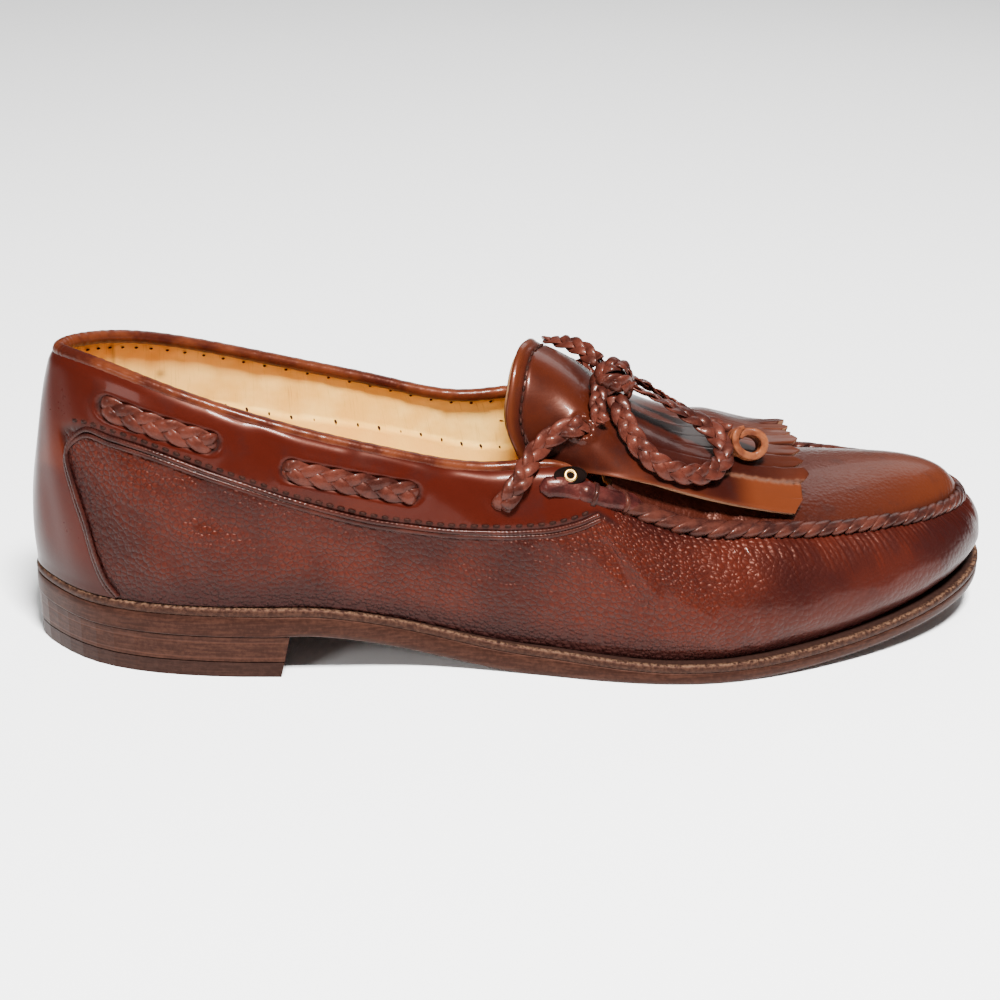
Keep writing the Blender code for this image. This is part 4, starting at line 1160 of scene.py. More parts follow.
def make_kiltie(material):
    """The fringed leather over the instep: rolled rim, stitched groove, slits and ragged tips."""
    across = np.linspace(-1, 1, 260)
    share = np.linspace(0, 1, 190)
    start = rim_x(across)
    strip = (across + 1) / 2 * STRIPS
    phase = np.abs(strip - np.floor(strip) - 0.5) * 2
    uneven = 0.5 + 0.5 * np.sin(np.floor(strip) * 2.3)
    end = KILTIE_TIP - (phase**1.3) * TOOTH * (0.5 + 0.6 * uneven) - uneven * 0.8 * MM
    outer_strip = across < -0.714
    end = np.where(outer_strip, KILTIE_TIP - 2.5 * MM, end)
    end = end - 0.012 * LENGTH * np.clip(np.abs(across) - 0.86, 0, None) / 0.14
    x_grid = start[None, :] + (end - start)[None, :] * share[:, None]
    a_grid = np.broadcast_to(across, x_grid.shape)
    from_rim = x_grid - start[None, :]
    roll = np.exp(-(((from_rim - 1.1 * MM) / (1.2 * MM)) ** 2))
    groove = np.exp(-(((from_rim - 4.4 * MM) / (0.55 * MM)) ** 2))
    half = (kiltie_points(x_grid[:, -1], 1.0) - kiltie_points(x_grid[:, 0], -1.0))[:, 1:2] / 2
    border = np.abs(strip - np.round(strip))[None, :] * half * 2 / STRIPS * 1.25
    inner = (np.round(strip) > 0.5) & (np.round(strip) < STRIPS - 0.5)
    inner = inner & (np.round(strip) != 1)
    wander = 5 * MM * np.sin(np.round(strip) * 1.7)
    ragged = 0.25 * MM * np.sin(x_grid / MM * 2.1) * np.sin(x_grid / MM * 0.7)
    from_layer = (strip - 2.0)[None, :] * half * 2 / STRIPS + ragged
    layer = smoothstep((x_grid - 203 * MM) / (9 * MM))
    open_slit = smoothstep((x_grid - SLIT_START - wander[None, :]) / (3 * MM)) * inner[None, :]
    depth_share = 0.07 + 0.93 * smoothstep((x_grid - 225 * MM) / (5 * MM))
    slit = np.exp(-((border / (0.24 * MM)) ** 2)) * open_slit * depth_share
    crown = (1 - (border / (half / STRIPS * 1.25)) ** 2).clip(-1, 1) * open_slit
    moved = 0.55 * MM * roll - 0.45 * MM * groove - 1.4 * MM * slit + 0.12 * MM * crown * depth_share
    side = np.abs(a_grid)
    side_edge = np.exp(-((((1 - side) * half) / (0.9 * MM)) ** 2))
    moved = moved + 0.3 * MM * side_edge
    moved = moved + 0.9 * MM * smoothstep(0.5 + from_layer / (0.7 * MM)) * layer
    holes = np.zeros_like(moved)
    points = kiltie_points(x_grid, a_grid)
    for x, z, sign in LACE_HOLES:
        spot = kiltie_points(x * MM, on_kiltie(x * MM, z * MM, sign))
        away = np.linalg.norm(points - spot, axis=-1)
        turn = np.arctan2(points[..., 2] - spot[2], points[..., 0] - spot[0])
        lobes = 1 + 0.35 * np.sin(turn * 7)
        moved = moved + 0.65 * MM * lobes * np.exp(-(((away - 3.6 * MM) / (1.1 * MM)) ** 2))
        hole = np.exp(-((away / (1.9 * MM)) ** 4))
        moved = moved - 1.5 * MM * hole
        holes = np.maximum(holes, hole)
    broad = np.sin(x_grid / MM * 0.16 + 2 * a_grid) * np.sin(a_grid * 5 + 1)
    moved = moved + 0.35 * MM * broad
    lift = np.sin(np.floor(strip) * 4.1)[None, :] * 0.5 * MM
    moved = moved + lift * smoothstep((x_grid - 222 * MM) / (12 * MM))
    points = points + kiltie_normals(x_grid, a_grid) * moved[..., None]
    # the sheet's edge is turned down and under by rows and columns of growing depth
    extra = 4
    rows, columns = x_grid.shape
    r = np.clip(np.arange(-extra, rows + extra), 0, rows - 1)
    c = np.clip(np.arange(-extra, columns + extra), 0, columns - 1)
    over_r = np.abs(np.arange(-extra, rows + extra) - r)
    over_c = np.abs(np.arange(-extra, columns + extra) - c)
    over = np.maximum.outer(over_r, over_c)
    points = points[np.ix_(r, c)]
    normals = kiltie_normals(x_grid, a_grid)[np.ix_(r, c)]
    depth = np.array([0, 0.5, 1.1, 1.7, 2.0])[over] * MM
    points = points - normals * depth[..., None]
    middle = points.mean(axis=(0, 1))
    inward = unit((middle - points) * np.array([1, 1, 0.0]))
    points = points + inward * np.array([0, 0.0, 0.1, 0.5, 3.5])[over][..., None] * MM
    piece = new_piece(
        "kiltie_leather",
        points.reshape(-1, 3),
        grid_faces(*over.shape)[:, ::-1].tolist(),
        material,
        ["kiltie"],
    )
    masks = {
        "roll": roll,
        "groove": groove,
        # the slits between the fringe strips and the lace holes, which the kiltie's material paints dark as
        # painted shade
        "slit": np.maximum(slit, holes),
        "tip": smoothstep((x_grid - 205 * MM) / (30 * MM)),
        "edge": side_edge,
        "layer": np.exp(-((from_layer / (0.45 * MM)) ** 2)) * layer,
        "strip": smoothstep(0.5 - from_layer / (0.8 * MM)) * smoothstep((x_grid - 208 * MM) / (10 * MM)),
        "lane": np.broadcast_to(np.floor(strip) * 0.137 % 1.0, x_grid.shape) * open_slit,
    }
    for name, values in masks.items():
        write_attribute(piece.data, name, values[np.ix_(r, c)])
    cut = write_attribute
    cut(piece.data, "cut", smoothstep(over / 1.5))
    across_uv = (a_grid * half)[np.ix_(r, c)]
    write_uv(piece.data, grid_uv(across_uv + depth, x_grid[np.ix_(r, c)] + depth)[:, ::-1])
    stitches = Collected()
    for sign_gap in (4.4,):
        fine = np.linspace(-0.97, 0.97, 900)
        x = rim_x(fine) + sign_gap * MM
        line = kiltie_points(x, fine)
        normal = kiltie_normals(x, fine)
        stitches_along(stitches, line - normal * 0.25 * MM, normal, 3.3 * MM, 2.2 * MM, 0.8 * MM)
    new_piece("kiltie_stitches", stitches.all_points(), stitches.faces, THREAD)


def under_plug(x, across, depth):
    """A place below the plug's outer face."""
    station = plug_station_at(x)
    return plug_points(station, across) - plug_normals(station, across) * depth


def make_tongue(material):
    """The tongue under the kiltie, which dips under the plug in front of the throat."""
    sheets = []
    throat_x = float(LAST(float(THROAT))[TOP_X])
    for depth in (0.0, TONGUE):
        rows = []
        for share in np.linspace(0, 1, 26):
            row = []
            for across in np.linspace(-1, 1, 31):
                start = float(rim_x(across * TONGUE_WIDTH))
                x = start + (0.600 * LENGTH - start) * share
                rear = kiltie_points(x, across * TONGUE_WIDTH, KILTIE + 2 * GAP + depth)
                under = float(smoothstep((x - throat_x + 12 * MM) / (14 * MM)))
                if under > 0:
                    low = under_plug(x, across * TONGUE_WIDTH, WALL + 3 * GAP + depth)
                    rear = rear * (1 - under) + low * under
                row.append(rear)
            rows.append(row)
        sheets.append(np.array(rows))
    top, low = sheets
    rows, columns = top.shape[:2]
    # one closed strip: over the top row by row, and back below
    ring = np.concatenate([top, low[:, ::-1]], axis=1)
    gathered = Collected()
    gathered.tube(ring[:, ::-1])
    piece = new_piece(
        "tongue_leather",
        gathered.all_points(),
        gathered.faces,
        material,
        ["tongue"],
    )
    return piece


def wall_route(places, side, out):
    """Places and normals on the wall through (x, z) pairs in metres, raised by out."""
    found = [on_wall(x, z, side) for x, z in places]
    points = np.array([wall_points(at, v) for at, v in found])
    normals = np.array([wall_normals(at, v) for at, v in found])
    return points + normals * np.asarray(out)[..., None], normals


def make_passes(material):
    """The lace in the collar's windows, plaited from three flat strands and sunk in at both ends."""
    for row in LACE_PASSES:
        for side in SIDES:
            share = np.linspace(-0.095, 1.095, 12)
            x = (row.x_rear * (1 - share) + row.x_front * share) * LENGTH
            z = (row.z_rear * (1 - share) + row.z_front * share) * BACK_HEIGHT
            points, normals = wall_route(zip(x, z), side.sign, 0.45 * MM + 0 * share)
            points, normals = smooth_route(points, normals, 90)
            along = np.linspace(0, 1, len(points))
            end = np.exp(-((np.minimum(along, 1 - along) / 0.045) ** 2))
            points = points - normals * end[:, None] * 1.9 * MM
            gathered = Collected()
            size = 1 - 0.45 * end
            for rings in braid_rings(points, normals, 6.8 * MM, LACE_THICK, 6.6 * MM, size):
                gathered.tube(rings)
            name = f"lace_pass_{side.label}_{row.name}"
            new_piece(
                f"braid_{side.label}_{row.name}",
                gathered.all_points(),
                gathered.faces,
                material,
                [name],
            )


def crossing_route(side):
    points, normals = [], []
    for row in LACE_CROSSING:
        x, z = (row.x + side.crossing_shift) * LENGTH, row.z * BACK_HEIGHT
        if row.on == "wall":
            at, v = on_wall(x, z, side.sign)
            normal, point = wall_normals(at, v), wall_points(at, v)
        else:
            across = on_kiltie(x, z, side.sign)
            normal, point = kiltie_normals(x, across), kiltie_points(x, across)
        normals.append(normal)
        points.append(point + normal * (LACE_THICK / 2 + row.lift * LACE_THICK * 0.8))
    return np.array(points), np.array(normals)


def make_crossings(material):
    """The lace from the front window over the throat's edge into the hole in the kiltie."""
    for side in SIDES:
        points, normals = crossing_route(side)
        first = points[0] - normals[0] * 3.2 * MM + (points[0] - points[1]) * 0.35
        last = points[-1] - normals[-1] * 3.6 * MM + (points[-1] - points[-2]) * 0.4
        points = np.concatenate([[first], points, [last]])
        normals = np.concatenate([normals[:1], normals, normals[-1:]])
        points, normals = smooth_route(points, normals, 100)
        gathered = Collected()
        for rings in braid_rings(points, normals, 6.4 * MM, LACE_THICK, 6.2 * MM):
            gathered.tube(rings)
        new_piece(
            f"braid_cross_{side.label}",
            gathered.all_points(),
            gathered.faces,
            material,
            [f"lace_cross_{side.label}"],
        )


# Rolls of leather at the throat's corner, local millimetres: a tab, the wrapped roll and its rings
THROAT_ROLL = [(158.5, -37.0, 60.0), (163.3, -37.9, 58.0), (171.7, -37.2, 55.4), (180.5, -34.6, 52.2)]
THROAT_TAB = [(148.5, -37.2, 59.6), (153.0, -37.6, 60.4), (158.0, -37.8, 59.6), (162.5, -38.0, 58.4)]


def make_throat_rolls(leather, ring_leather):
    """Where the moccasin seam starts: a folded tab, and a roll wrapped twice, on both sides."""
    rolls, rings = Collected(), Collected()
    for side in SIDES:
        for route, wide, high in ((THROAT_ROLL, 7.0, 5.2), (THROAT_TAB, 6.4, 3.0)):
            lower = 3 * MM if side.sign > 0 else 0
            places = np.array(route) * MM
            levels = [on_wall(x, z - lower, side.sign) for x, _, z in places]
            if side.sign > 0:
                places = np.array([wall_points(at, v) for at, v in levels])
            facing = np.array([wall_normals(at, v) for at, v in levels])
            path, normals = smooth_route(places, facing, 40)
            share = np.linspace(0, 1, 40)
            size = np.clip(np.minimum(share, 1 - share) / 0.16, 0.12, 1) ** 0.5
            bumps = 1 + 0.02 * np.sin(share * 17)
            section = round_section(wide * MM, high * MM, 18)[None] * (size * bumps)[:, None, None]
            rolls.tube(sweep(path - normals * 0.6 * MM, normals, section))
            if route is THROAT_ROLL:
                for k in (11, 27):
                    near = slice(k - 1, k + 2)
                    ring = round_section((wide + 1.1) * MM, (high + 1.1) * MM, 24)
                    rings.tube(sweep(path[near] - normals[near] * 0.6 * MM, normals[near], ring))
    new_piece("throat_rolls", rolls.all_points(), rolls.faces, leather)
    new_piece("throat_rings", rings.all_points(), rings.faces, ring_leather)


CAMERA_SIDE, UP_SIDE = (-0.16, -0.89, 0.42), (0.25, 0.35, 0.90)
CordRow = namedtuple("CordRow", "name route width thick pitch start_face middle_face end_face")
CORD_ROWS = [
    CordRow("bow_loop_near", LOOP_NEAR, 6.4, 2.4, 5.6, CAMERA_SIDE, CAMERA_SIDE, UP_SIDE),
    CordRow("bow_loop_far", LOOP_FAR, 5.6, 2.4, 5.2, CAMERA_SIDE, UP_SIDE, UP_SIDE),
    CordRow("bow_end_long", END_LONG, 5.4, 2.4, 5.2, UP_SIDE, UP_SIDE, CAMERA_SIDE),
    CordRow("bow_end_short", END_SHORT, 5.0, 2.4, 5.0, CAMERA_SIDE, CAMERA_SIDE, CAMERA_SIDE),
]


def make_bow(material):
    """The bow's cords, each plaited along its route."""
    made = {}
    for row in CORD_ROWS:
        path = smooth_line(np.array(row.route) * MM, 6 * len(row.route) + 60)
        faces = [row.start_face, row.middle_face, row.end_face]
        normals = unit(smooth_through([0, 0.5, 1], faces, np.linspace(0, 1, len(path))))
        gathered = Collected()
        for rings in braid_rings(
            path, normals, row.width * MM, row.thick * MM, row.pitch * MM
        ):
            gathered.tube(rings)
        piece = new_piece(
            row.name + "_braid",
            gathered.all_points(),
            gathered.faces,
            material,
            [row.name],
        )
        made[row.name] = (piece, path + SHIFT)
    for name in ("bow_loop_near", "bow_loop_far", "bow_end_long"):
        piece, path = made[name]


# Wraps of the knot: routes in millimetres, with the way that their flat side faces
KNOT_WRAPS = [
    ([(168.6, -14.6, 80.6), (169.4, -14.4, 85.6), (173.6, -12.8, 88.6), (178.4, -11.6, 86.6), (180.0, -11.2, 81.8)], (0, -0.6, 0.8)),
    ([(168.9, -12.4, 79.6), (171.0, -16.4, 82.8), (174.4, -17.0, 84.3), (178.0, -15.6, 82.4), (179.6, -12.6, 78.8)], (0, -0.8, 0.6)),
    ([(172.2, -16.0, 78.6), (173.6, -14.8, 81.2), (175.6, -9.8, 84.6), (176.4, -4.8, 82.2), (176.2, -3.4, 78.6)], (0.5, -0.3, 0.8)),
]


def make_knot(material):
    """The knot: crossed turns of the plaited lace round a core."""
    gathered = Collected()
    for route, face in KNOT_WRAPS:
        path = smooth_line(np.array(route) * MM, 60)
        centre = np.array(KNOT_CENTRE) * MM
        normals = unit(unit(path - centre) + 0.3 * unit(np.array(face, float)))
        for rings in braid_rings(path, normals, 5.6 * MM, 2.4 * MM, 4.6 * MM):
            gathered.tube(rings)
    core = bmesh.new()
    bmesh.ops.create_uvsphere(core, u_segments=24, v_segments=16, radius=1.0)
    places = np.array([vertex.co[:] for vertex in core.verts])
    faces = [[vertex.index for vertex in face.verts] for face in core.faces]
    core.free()
    scaled = places * np.array([4.6, 4.0, 3.8]) * MM + np.array(KNOT_CENTRE) * MM
    gathered.add(scaled, faces)
    new_piece(
        "knot_wraps",
        gathered.all_points(),
        gathered.faces,
        material,
        ["bow_knot"],
    )


def make_curl(material):
    """The lace's long end rolled into a ring."""
    turn = np.linspace(math.radians(150), math.radians(150 - 400), 90)
    growth = np.linspace(0, 1, 90)
    radius = CURL_RADIUS * (0.80 + 0.42 * growth) * (1 + 0.11 * np.cos(2 * turn + 0.9))
    facing = unit(np.array([0.10, -0.86, 0.50]))
    right = unit(np.cross(facing, np.array([0, 0, 1.0]))) * -1
    up = np.cross(right, facing) * -1
    centre = np.array(CURL_CENTRE) * MM
    path = centre + (right * np.cos(turn)[:, None] + up * np.sin(turn)[:, None]) * radius[:, None]
    path = path + facing * (0.9 * MM * np.sin(1.5 * turn + 0.5))[:, None]
    outwards = unit(path - centre)
    size = np.clip((1 - growth) / 0.06, 0.3, 1) ** 0.5
    gathered = Collected()
    for shift, wide, thick in ((0.0, 5.4, 1.9), (2.3, 1.2, 2.4), (-2.3, 1.2, 2.4), (0.0, 1.0, 2.3)):
        moved = path + facing * shift * MM
        section = round_section(wide * MM, thick * MM, 14)[None] * size[:, None, None]
        gathered.tube(sweep(moved, outwards, section))
    new_piece(
        "curl_braid",
        gathered.all_points(),
        gathered.faces,
        material,
        ["bow_end_knot"],
    )


def make_eyelets(brass, dark):
    """Brass eyelets in the wall: a ring round a dark disc, with a dark lens and its rim round it, both painted
    shade of the hole.
    """
    rings_of, holes = Collected(), Collected()
    for side in SIDES:
        at, v = on_wall(side.eyelet_x * LENGTH, side.eyelet_z * BACK_HEIGHT, side.sign)
        normal = wall_normals(at, v)
        centre = wall_points(at, v) + normal * (side.eyelet_gaps * GAP + 0.1 * MM)
        right = unit(np.cross(normal, np.array([0, 0, 1.0])))
        up = np.cross(right, normal)
        turn = 2 * math.pi * np.arange(40) / 40
        out = right * np.cos(turn)[:, None] + up * np.sin(turn)[:, None]
        path = centre + out * 1.5 * MM
        section = round_section(1.1 * MM, 0.9 * MM, 12)
        rings_of.tube(sweep(path, np.broadcast_to(normal, path.shape), section, closed=True), closed=True)
        disc = centre - normal * 0.3 * MM + out * 1.4 * MM
        holes.add(disc, [list(range(40))])
        flat = right * np.cos(turn)[:, None] * 4.8 * MM + up * np.sin(turn)[:, None] * 2.6 * MM
        lens = centre + flat - normal * 0.1 * MM
        holes.add(lens, [list(range(40))])
        rim = round_section(0.5 * MM, 0.5 * MM, 8)
        broad = np.broadcast_to(normal, lens.shape)
        holes.tube(sweep(lens, broad, rim, closed=True), closed=True)
    replaced = [f"eyelet_{side.label}" for side in SIDES]
    new_piece(
        "eyelet_rings", rings_of.all_points(), rings_of.faces, brass, replaced
    )
    new_piece("eyelet_holes", holes.all_points(), holes.faces, dark)


WELT_PROFILE = [
    (12.0, 2.6),
    (6.0, 2.6),
    (4.0, 2.6),
    (2.6, 2.58),
    (1.9, 2.35),
    (1.3, 2.55),
    (0.7, 2.45),
    (0.25, 2.15),
    (0.05, 1.7),
    (0.0, 1.2),
    (0.05, 0.5),
    (0.25, 0.12),
    (0.6, 0.0),
]


def make_welt(material):
    """The welt, with its wheeled upper edge."""
    columns = 1500
    at = np.linspace(0, ROUND, columns, endpoint=False)
    inset = np.array([row[0] for row in WELT_PROFILE]) * MM
    lift = np.array([row[1] for row in WELT_PROFILE]) * MM
    plan = np.stack([sole_edge(at, np.full(columns, value)) for value in inset])
    z = seat_height(plan[..., 0]) + lift[:, None]
    edge = np.append(LAST(at)[:, :2], LAST(at)[:1, :2], axis=0)
    unrolled = np.append(0, np.cumsum(np.linalg.norm(np.diff(edge, axis=0), axis=1)))
    notch = 0.5 + 0.5 * np.cos(2 * math.pi * unrolled[:-1] / (2.1 * MM))
    weight = np.exp(-(((inset - 0.9 * MM) / (0.55 * MM)) ** 2))[:, None]
    z = z - weight * (notch[None, :] ** 3) * 0.35 * MM
    points = np.concatenate([plan, z[..., None]], axis=-1)
    faces = grid_faces(len(inset), columns, closed=True)
    piece = new_piece(
        "welt_leather",
        points.reshape(-1, 3),
        faces[:, ::-1].tolist(),
        material,
        ["welt"],
    )
    write_attribute(piece.data, "wheel", np.broadcast_to(weight, z.shape))
    write_attribute(piece.data, "top", np.broadcast_to(smoothstep(lift / MM - 1.6)[:, None], z.shape))
    write_uv(piece.data, grid_uv(unrolled[None, :], np.cumsum(inset * 0 + 0.001)[:, None])[:, ::-1])


def make_outsole(edge_leather):
    """The outsole: its edge all round and its underside to the middle line."""
    columns = 720
    at = np.linspace(0, ROUND, columns, endpoint=False)
    edge = sole_edge(at, 0.0 * at)
    middle = (LAST(at)[:, :2] + LAST((ROUND - at) % ROUND)[:, :2]) / 2
    rows = []
    for inset, share in [(3.0, 1.0), (0.5, 1.0), (0.1, 0.93), (0.0, 0.6), (0.0, 0.3), (0.15, 0.06), (0.5, 0.0)]:
        forward = smoothstep((LAST(at)[:, SOLE_X] - 70 * MM) / (12 * MM))
        plan = sole_edge(at, inset * MM * np.where(share < 0.5, forward, 1.0))
        low, high = tread_height(plan[:, 0]), seat_height(plan[:, 0])
        rows.append(np.concatenate([plan, (low + (high - low) * share)[:, None]], axis=1))
    for blend in (0.08, 0.2, 0.35, 0.5, 0.65, 0.8, 0.92, 1.0):
        plan = edge * (1 - blend) + middle * blend
        hollow = -0.8 * MM * np.sin(blend * math.pi / 2) * smoothstep((plan[:, 0] - 160 * MM) / (40 * MM))
        low = tread_height(plan[:, 0]) - 0 * hollow
        rows.append(np.concatenate([plan, low[:, None]], axis=1))
    points = np.array(rows)
    new_piece(
        "outsole_leather",
        points.reshape(-1, 3),
        grid_faces(len(rows), columns, closed=True)[:, ::-1].tolist(),
        edge_leather,
        ["outsole"],
    )


def make_sock(leather):
    """The sock over the insole."""
    columns = 300
    at = np.linspace(0, ROUND, columns, endpoint=False)
    middle = (LAST(at)[:, :2] + LAST((ROUND - at) % ROUND)[:, :2]) / 2
    rows = []
    for share in np.linspace(1.0, 0.0, 16):
        edge = sole_edge(at, 6.5 * MM + LAST(at)[:, LEDGE_AT])
        plan = middle + (edge - middle) * share
        sag = 0.8 * MM * (1 - share**2)
        z = seat_height(plan[:, 0]) + WELT + INSOLE_ABOVE_WELT + 0.3 * MM - sag * 0
        rows.append(np.concatenate([plan, z[:, None]], axis=1))
    new_piece(
        "sock",
        np.array(rows).reshape(-1, 3),
        grid_faces(16, columns, closed=True).tolist(),
        leather,
    )


def assign_material(node, material):
    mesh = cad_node(node).data
    mesh.materials.clear()
    mesh.materials.append(material)


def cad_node(name):
    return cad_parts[name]



def upper_material():
    """Pebbled and polished oxblood, smooth where the collar band and the counter are."""
    made = Finish("oxblood")
    uv, place = made.uv(), made.place()
    smooth, front = made.attribute("smooth"), made.attribute("front")
    level, pucker = made.attribute("level"), made.attribute("pucker")
    window, seam = made.attribute("window"), made.attribute("seam")
    warp = made.noise(uv, 500.0, 2.0)
    net = made.cells(uv, 620.0, "DISTANCE_TO_EDGE").step(0.0, 0.24)
    away = made.cells(uv, 620.0)
    dome = (1 - away * away * 1.7).clamp()
    broad, blot = made.noise(place, 28.0, 3.0), made.noise(place, 75.0, 4.0, 0.6)
    fine = made.noise(place, 900.0, 3.0, 0.6)
    scratch = made.noise(made.stretched(uv, (60.0, 1400.0, 1.0)), 1.0, 3.0)
    pebbled = (1 - smooth) * (1 - 0.80 * front)
    grain = dome * 0.75 + net * 0.15 + warp * 0.2
    colour = made.mix((0.0155, 0.0023, 0.0016), (0.040, 0.0060, 0.0029), broad.step(0.35, 0.65))
    colour = made.mix(colour, (0.012, 0.0035, 0.0035), blot.step(0.50, 0.75) * 0.45)
    warm = (broad.step(0.42, 0.62) * (1 - level).step(0.25, 0.75)).clamp()
    band = made.mix((0.028, 0.0032, 0.0016), (0.088, 0.0140, 0.0030), warm)
    band = made.mix(band, (0.020, 0.004, 0.003), blot.step(0.52, 0.70) * 0.6)
    colour = made.mix(colour, band, smooth)
    # painted shade in the groove beside the piping of the collar and counter seams
    colour = made.mix(colour, (0.008, 0.003, 0.003), (seam * 0.85).clamp())
    # painted shade in the sunk slots under the lace passes
    colour = made.mix(colour, (0.006, 0.003, 0.003), (window * 0.92).clamp())
    # painted shade low on the wall, where it turns under towards the welt
    colour = made.mix(colour, (0.012, 0.004, 0.004), ((1 - level).step(0.78, 1.0) * 0.85).clamp())
    # painted shade in the cracks between the pebbles of the grain
    colour = made.mix(colour, (0.010, 0.003, 0.003), ((1 - net) * pebbled * 0.45).clamp())
    # painted shade: the front of the wall is darker except on the pucker ridges near the moccasin seam, whose
    # tops stay lighter
    colour = made.mix(colour, (0.012, 0.004, 0.004), ((0.45 - pucker).step(0.1, 0.45) * front * 0.35).clamp())
    roughness = 0.27 + blot * 0.10 + fine * 0.08 - smooth * 0.06 + window * 0.3
    normal = made.bump(grain, 0.50 * MM, pebbled)
    normal = made.bump(fine + scratch * 0.6, 0.05 * MM, 0.3, normal)
    return made.done(
        colour,
        roughness,
        normal,
        coat_weight=0.065,
        coat_roughness=0.08,
        specular_ior_level=0.12,
        specular_tint=WARM_GLOSS,
    )


def plug_material():
    made = Finish("plug leather")
    uv, place = made.uv(), made.place()
    toe, edge = made.attribute("toe"), made.attribute("edge")
    cells = made.cells(uv, 900.0)
    broad, blot = made.noise(place, 32.0, 3.0), made.noise(place, 110.0, 4.0, 0.6)
    fine = made.noise(place, 1000.0, 3.0, 0.6)
    colour = made.mix((0.017, 0.0030, 0.0020), (0.050, 0.0105, 0.0038), (toe * 0.8 + broad * 0.4).clamp())
    colour = made.mix(colour, (0.016, 0.005, 0.004), blot.step(0.52, 0.75) * 0.55)
    # painted shade in the dip beside the raised moccasin seam
    colour = made.mix(colour, (0.008, 0.003, 0.003), (edge * 0.85).clamp())
    roughness = 0.25 + blot * 0.12 + fine * 0.08
    normal = made.bump((1 - cells).clamp(), 0.22 * MM, 0.8 * (1 - toe * 0.75))
    normal = made.bump(fine, 0.05 * MM, 0.35, normal)
    return made.done(
        colour,
        roughness,
        normal,
        coat_weight=0.065,
        coat_roughness=0.08,
        specular_ior_level=0.12,
        specular_tint=WARM_GLOSS,
    )


def polished(name, dark, light, scale=60.0, rough=0.28, grain=0.2, coat=0.3, gloss=0.15):
    """Polished leather between two colours, with a fine grain."""
    made = Finish(name)
    place = made.place()
    broad, fine = made.noise(place, scale, 4.0, 0.6), made.noise(place, 1100.0, 3.0, 0.6)
    cells = made.cells(place, 1100.0)
    colour = made.mix(dark, light, broad.step(0.36, 0.64))
    roughness = rough + broad * 0.12 + fine * 0.10
    normal = made.bump((1 - cells).clamp() * 0.6 + fine * 0.6, grain * MM, 0.6)
    return made.done(
        colour,
        roughness,
        normal,
        coat_weight=0.35 * coat,
        coat_roughness=0.12,
        specular_ior_level=gloss,
        specular_tint=WARM_GLOSS,
    )


def kiltie_material():
    made = Finish("kiltie leather")
    uv, place = made.uv(), made.place()
    roll, groove, slit = made.attribute("roll"), made.attribute("groove"), made.attribute("slit")
    tip, cut, edge = made.attribute("tip"), made.attribute("cut"), made.attribute("edge")
    lane = made.attribute("lane")
    broad, blot = made.noise(place, 40.0, 3.0), made.noise(place, 130.0, 4.0, 0.6)
    fine = made.noise(place, 950.0, 3.0, 0.6)
    streak = made.noise(made.stretched(uv, (900.0, 60.0, 1.0)), 1.0, 4.0, 0.6)
    colour = made.mix((0.0125, 0.0020, 0.0013), (0.032, 0.0056, 0.0022), broad.step(0.35, 0.65))
    colour = made.mix(colour, (0.012, 0.004, 0.0035), blot.step(0.52, 0.74) * 0.5)
    colour = made.mix(colour, (0.060, 0.0135, 0.0045), (roll * 0.55).clamp())
    colour = made.mix(colour, (0.075, 0.019, 0.0075), (edge * 0.4 + tip * lane * 0.5).clamp())
    # painted shade in the stitched groove, the slits between the fringe strips and the lace holes
    colour = made.mix(colour, (0.007, 0.003, 0.003), (groove * 0.8 + slit * 0.95).clamp())
    colour = made.mix(colour, (0.072, 0.0155, 0.0046), (made.attribute("strip") * 0.8).clamp())
    colour = made.mix(colour, (0.11, 0.046, 0.026), (made.attribute("layer") * 0.6).clamp())
    colour = made.mix(colour, (0.20, 0.10, 0.055), (cut * 0.9).clamp())
    roughness = 0.22 + blot * 0.10 + fine * 0.08 + tip * 0.08 + cut * 0.4
    normal = made.bump(fine * 0.6 + streak * 0.5, 0.10 * MM, 0.4)
    return made.done(
        colour,
        roughness,
        normal,
        coat_weight=0.12,
        coat_roughness=0.08,
        specular_ior_level=0.14,
        specular_tint=WARM_GLOSS,
    )


def lining_material():
    made = Finish("lining")
    uv, place = made.uv(), made.place()
    band, level = made.attribute("band"), made.attribute("level")
    broad, fine = made.noise(place, 35.0, 4.0, 0.6), made.noise(place, 800.0, 3.0)
    scratch = made.noise(made.stretched(uv, (1500.0, 60.0, 1.0)), 1.0, 4.0, 0.6)
    colour = made.mix((0.76, 0.39, 0.060), (0.94, 0.60, 0.150), broad.step(0.35, 0.65))
    colour = made.mix(colour, (0.25, 0.095, 0.030), (scratch.step(0.55, 0.80) * 0.55).clamp())
    colour = made.mix(colour, (0.80, 0.38, 0.065), (band * 0.6).clamp())
    colour = made.mix(colour, (0.24, 0.085, 0.025), (level.step(0.86, 1.0) * 0.6).clamp())
    colour = made.mix(colour, (0.060, 0.022, 0.010), (made.attribute("mark") * 0.85).clamp())
    normal = made.bump(scratch + fine, 0.12 * MM, 0.5)
    return made.done(colour, 0.50 + fine * 0.2, normal, specular_ior_level=0.15, specular_tint=WARM_GLOSS)


def welt_material():
    made = Finish("welt edge")
    place = made.place()
    wheel, top = made.attribute("wheel"), made.attribute("top")
    fine, broad = made.noise(place, 900.0, 4.0, 0.7), made.noise(place, 90.0, 3.0)
    colour = made.mix((0.010, 0.0042, 0.0030), (0.026, 0.0110, 0.0074), fine.step(0.4, 0.7))
    # painted shade on the welt's top face, in the crevice under the upper's wall
    colour = made.mix(colour, (0.010, 0.005, 0.004), (top * 0.7).clamp())
    speck = (wheel * fine.step(0.40, 0.60)).clamp()
    colour = made.mix(colour, (0.15, 0.080, 0.045), (speck * 0.6).clamp())
    normal = made.bump(fine + broad, 0.15 * MM, 0.7)
    return made.done(colour, 0.50 + broad * 0.15, normal, specular_ior_level=0.16, specular_tint=WARM_GLOSS)


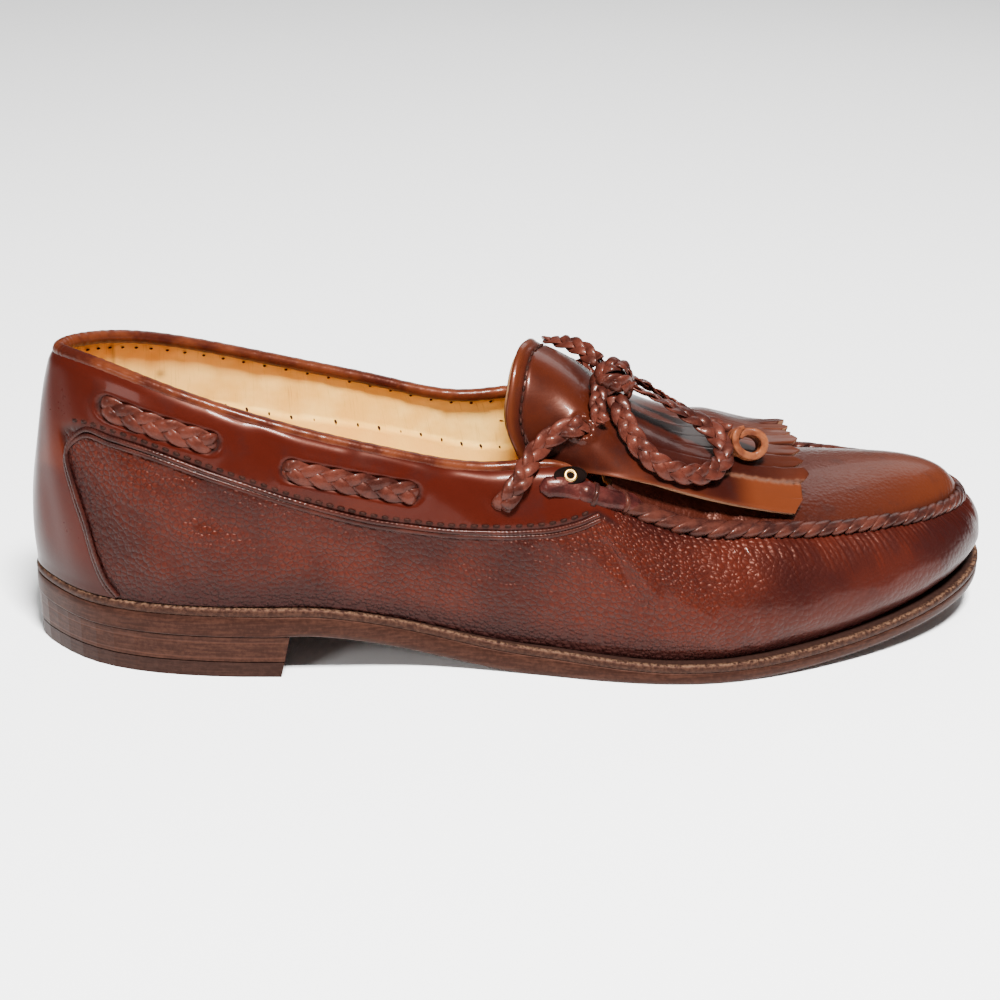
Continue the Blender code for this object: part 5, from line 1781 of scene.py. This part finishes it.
def edge_material(name, dark, light, layers=0.0):
    """The waxed edge of sole leather, with layers of this pitch in metres where it is stacked."""
    made = Finish(name)
    place = made.place()
    fine, broad = made.noise(place, 800.0, 4.0, 0.7), made.noise(place, 70.0, 3.0)
    fibres = made.noise(made.stretched(place, (120.0, 120.0, 1500.0)), 1.0, 3.0)
    colour = made.mix(dark, light, (fine * 0.5 + fibres * 0.5).step(0.4, 0.65))
    height = fibres * 0.5 + fine * 0.5
    if layers:
        x, y, z = [
            made.node("ShaderNodeSeparateXYZ", None, {0: place}, out=k) for k in range(3)
        ]
        wave = (z * (2 * math.pi / layers)).maths("SINE", z * (2 * math.pi / layers))
        line = wave.step(0.90, 1.0)
        colour = made.mix(colour, tuple(1.8 * part for part in light), (line * 0.35).clamp())
        height = height - line * 0.4
    normal = made.bump(height, 0.12 * MM, 0.6)
    return made.done(colour, 0.42 + broad * 0.15, normal, specular_ior_level=0.15, specular_tint=WARM_GLOSS)


def brass_material():
    made = Finish("brass")
    tone = made.noise(made.place(), 500.0, 3.0)
    colour = made.mix((0.42, 0.23, 0.055), (0.58, 0.35, 0.11), tone)
    return made.done(colour, 0.22 + tone * 0.15, metallic=1.0)


make_camera()
make_studio()
THREAD = polished("dark thread", (0.0050, 0.0022, 0.0020), (0.0150, 0.0055, 0.0042), 300.0, 0.5, 0.1, 0.0)
LACE = polished("lace leather", (0.016, 0.0034, 0.0024), (0.048, 0.0108, 0.0066), 130.0, 0.32, 0.15, 0.30)
WRAP = polished("seam leather", (0.012, 0.0035, 0.0030), (0.038, 0.0100, 0.0065), 120.0, 0.30, 0.2, 0.25)
make_bow(LACE)
make_upper(upper_material())
make_plug(plug_material())
BINDING = polished("binding", (0.024, 0.0038, 0.0020), (0.066, 0.0145, 0.0048), 90.0, 0.26, 0.12, 0.3)
make_lining(lining_material(), BINDING)
make_seams(polished("bead", (0.010, 0.0025, 0.0022), (0.026, 0.0055, 0.0036), 110.0, 0.28, 0.1), THREAD)
make_moc_seam(polished("seam core", (0.02, 0.008, 0.007), (0.05, 0.016, 0.012), 110.0, 0.5, 0.1), WRAP)
make_kiltie(kiltie_material())
make_tongue(polished("tongue leather", (0.12, 0.050, 0.020), (0.24, 0.11, 0.045), 60.0, 0.4, 0.1))
make_throat_rolls(
    polished("throat roll", (0.012, 0.0030, 0.0030), (0.034, 0.0070, 0.0058), 150.0, 0.24, 0.15, 0.3), WRAP
)
make_passes(LACE)
make_crossings(LACE)
make_knot(LACE)
make_curl(polished("curl leather", (0.045, 0.0105, 0.0050), (0.130, 0.0380, 0.0140), 160.0, 0.4, 0.15, 0.1))
# painted shade: the flat dark material of the eyelets' holes and of the lens round them
EYELET_HOLE_SHADE = polished("hole", (0.0020, 0.0014, 0.0014), (0.0040, 0.0024, 0.0020), 200.0, 0.8, 0.1, 0.0, 0.02)
make_eyelets(brass_material(), EYELET_HOLE_SHADE)
make_welt(welt_material())
make_outsole(edge_material("sole edge", (0.010, 0.0038, 0.0026), (0.028, 0.0110, 0.0070)))
SOCK = polished("sock leather", (0.50, 0.30, 0.13), (0.66, 0.44, 0.21), 40.0, 0.5, 0.1, 0.0)
make_sock(SOCK)
assign_material("insole", SOCK)
STACK = edge_material("heel stack", (0.011, 0.0042, 0.0028), (0.030, 0.0120, 0.0075), 5.2 * MM)
assign_material("heel_stack", STACK)
assign_material("heel_top_lift", edge_material("top lift", (0.0065, 0.0030, 0.0024), (0.017, 0.0080, 0.0058)))
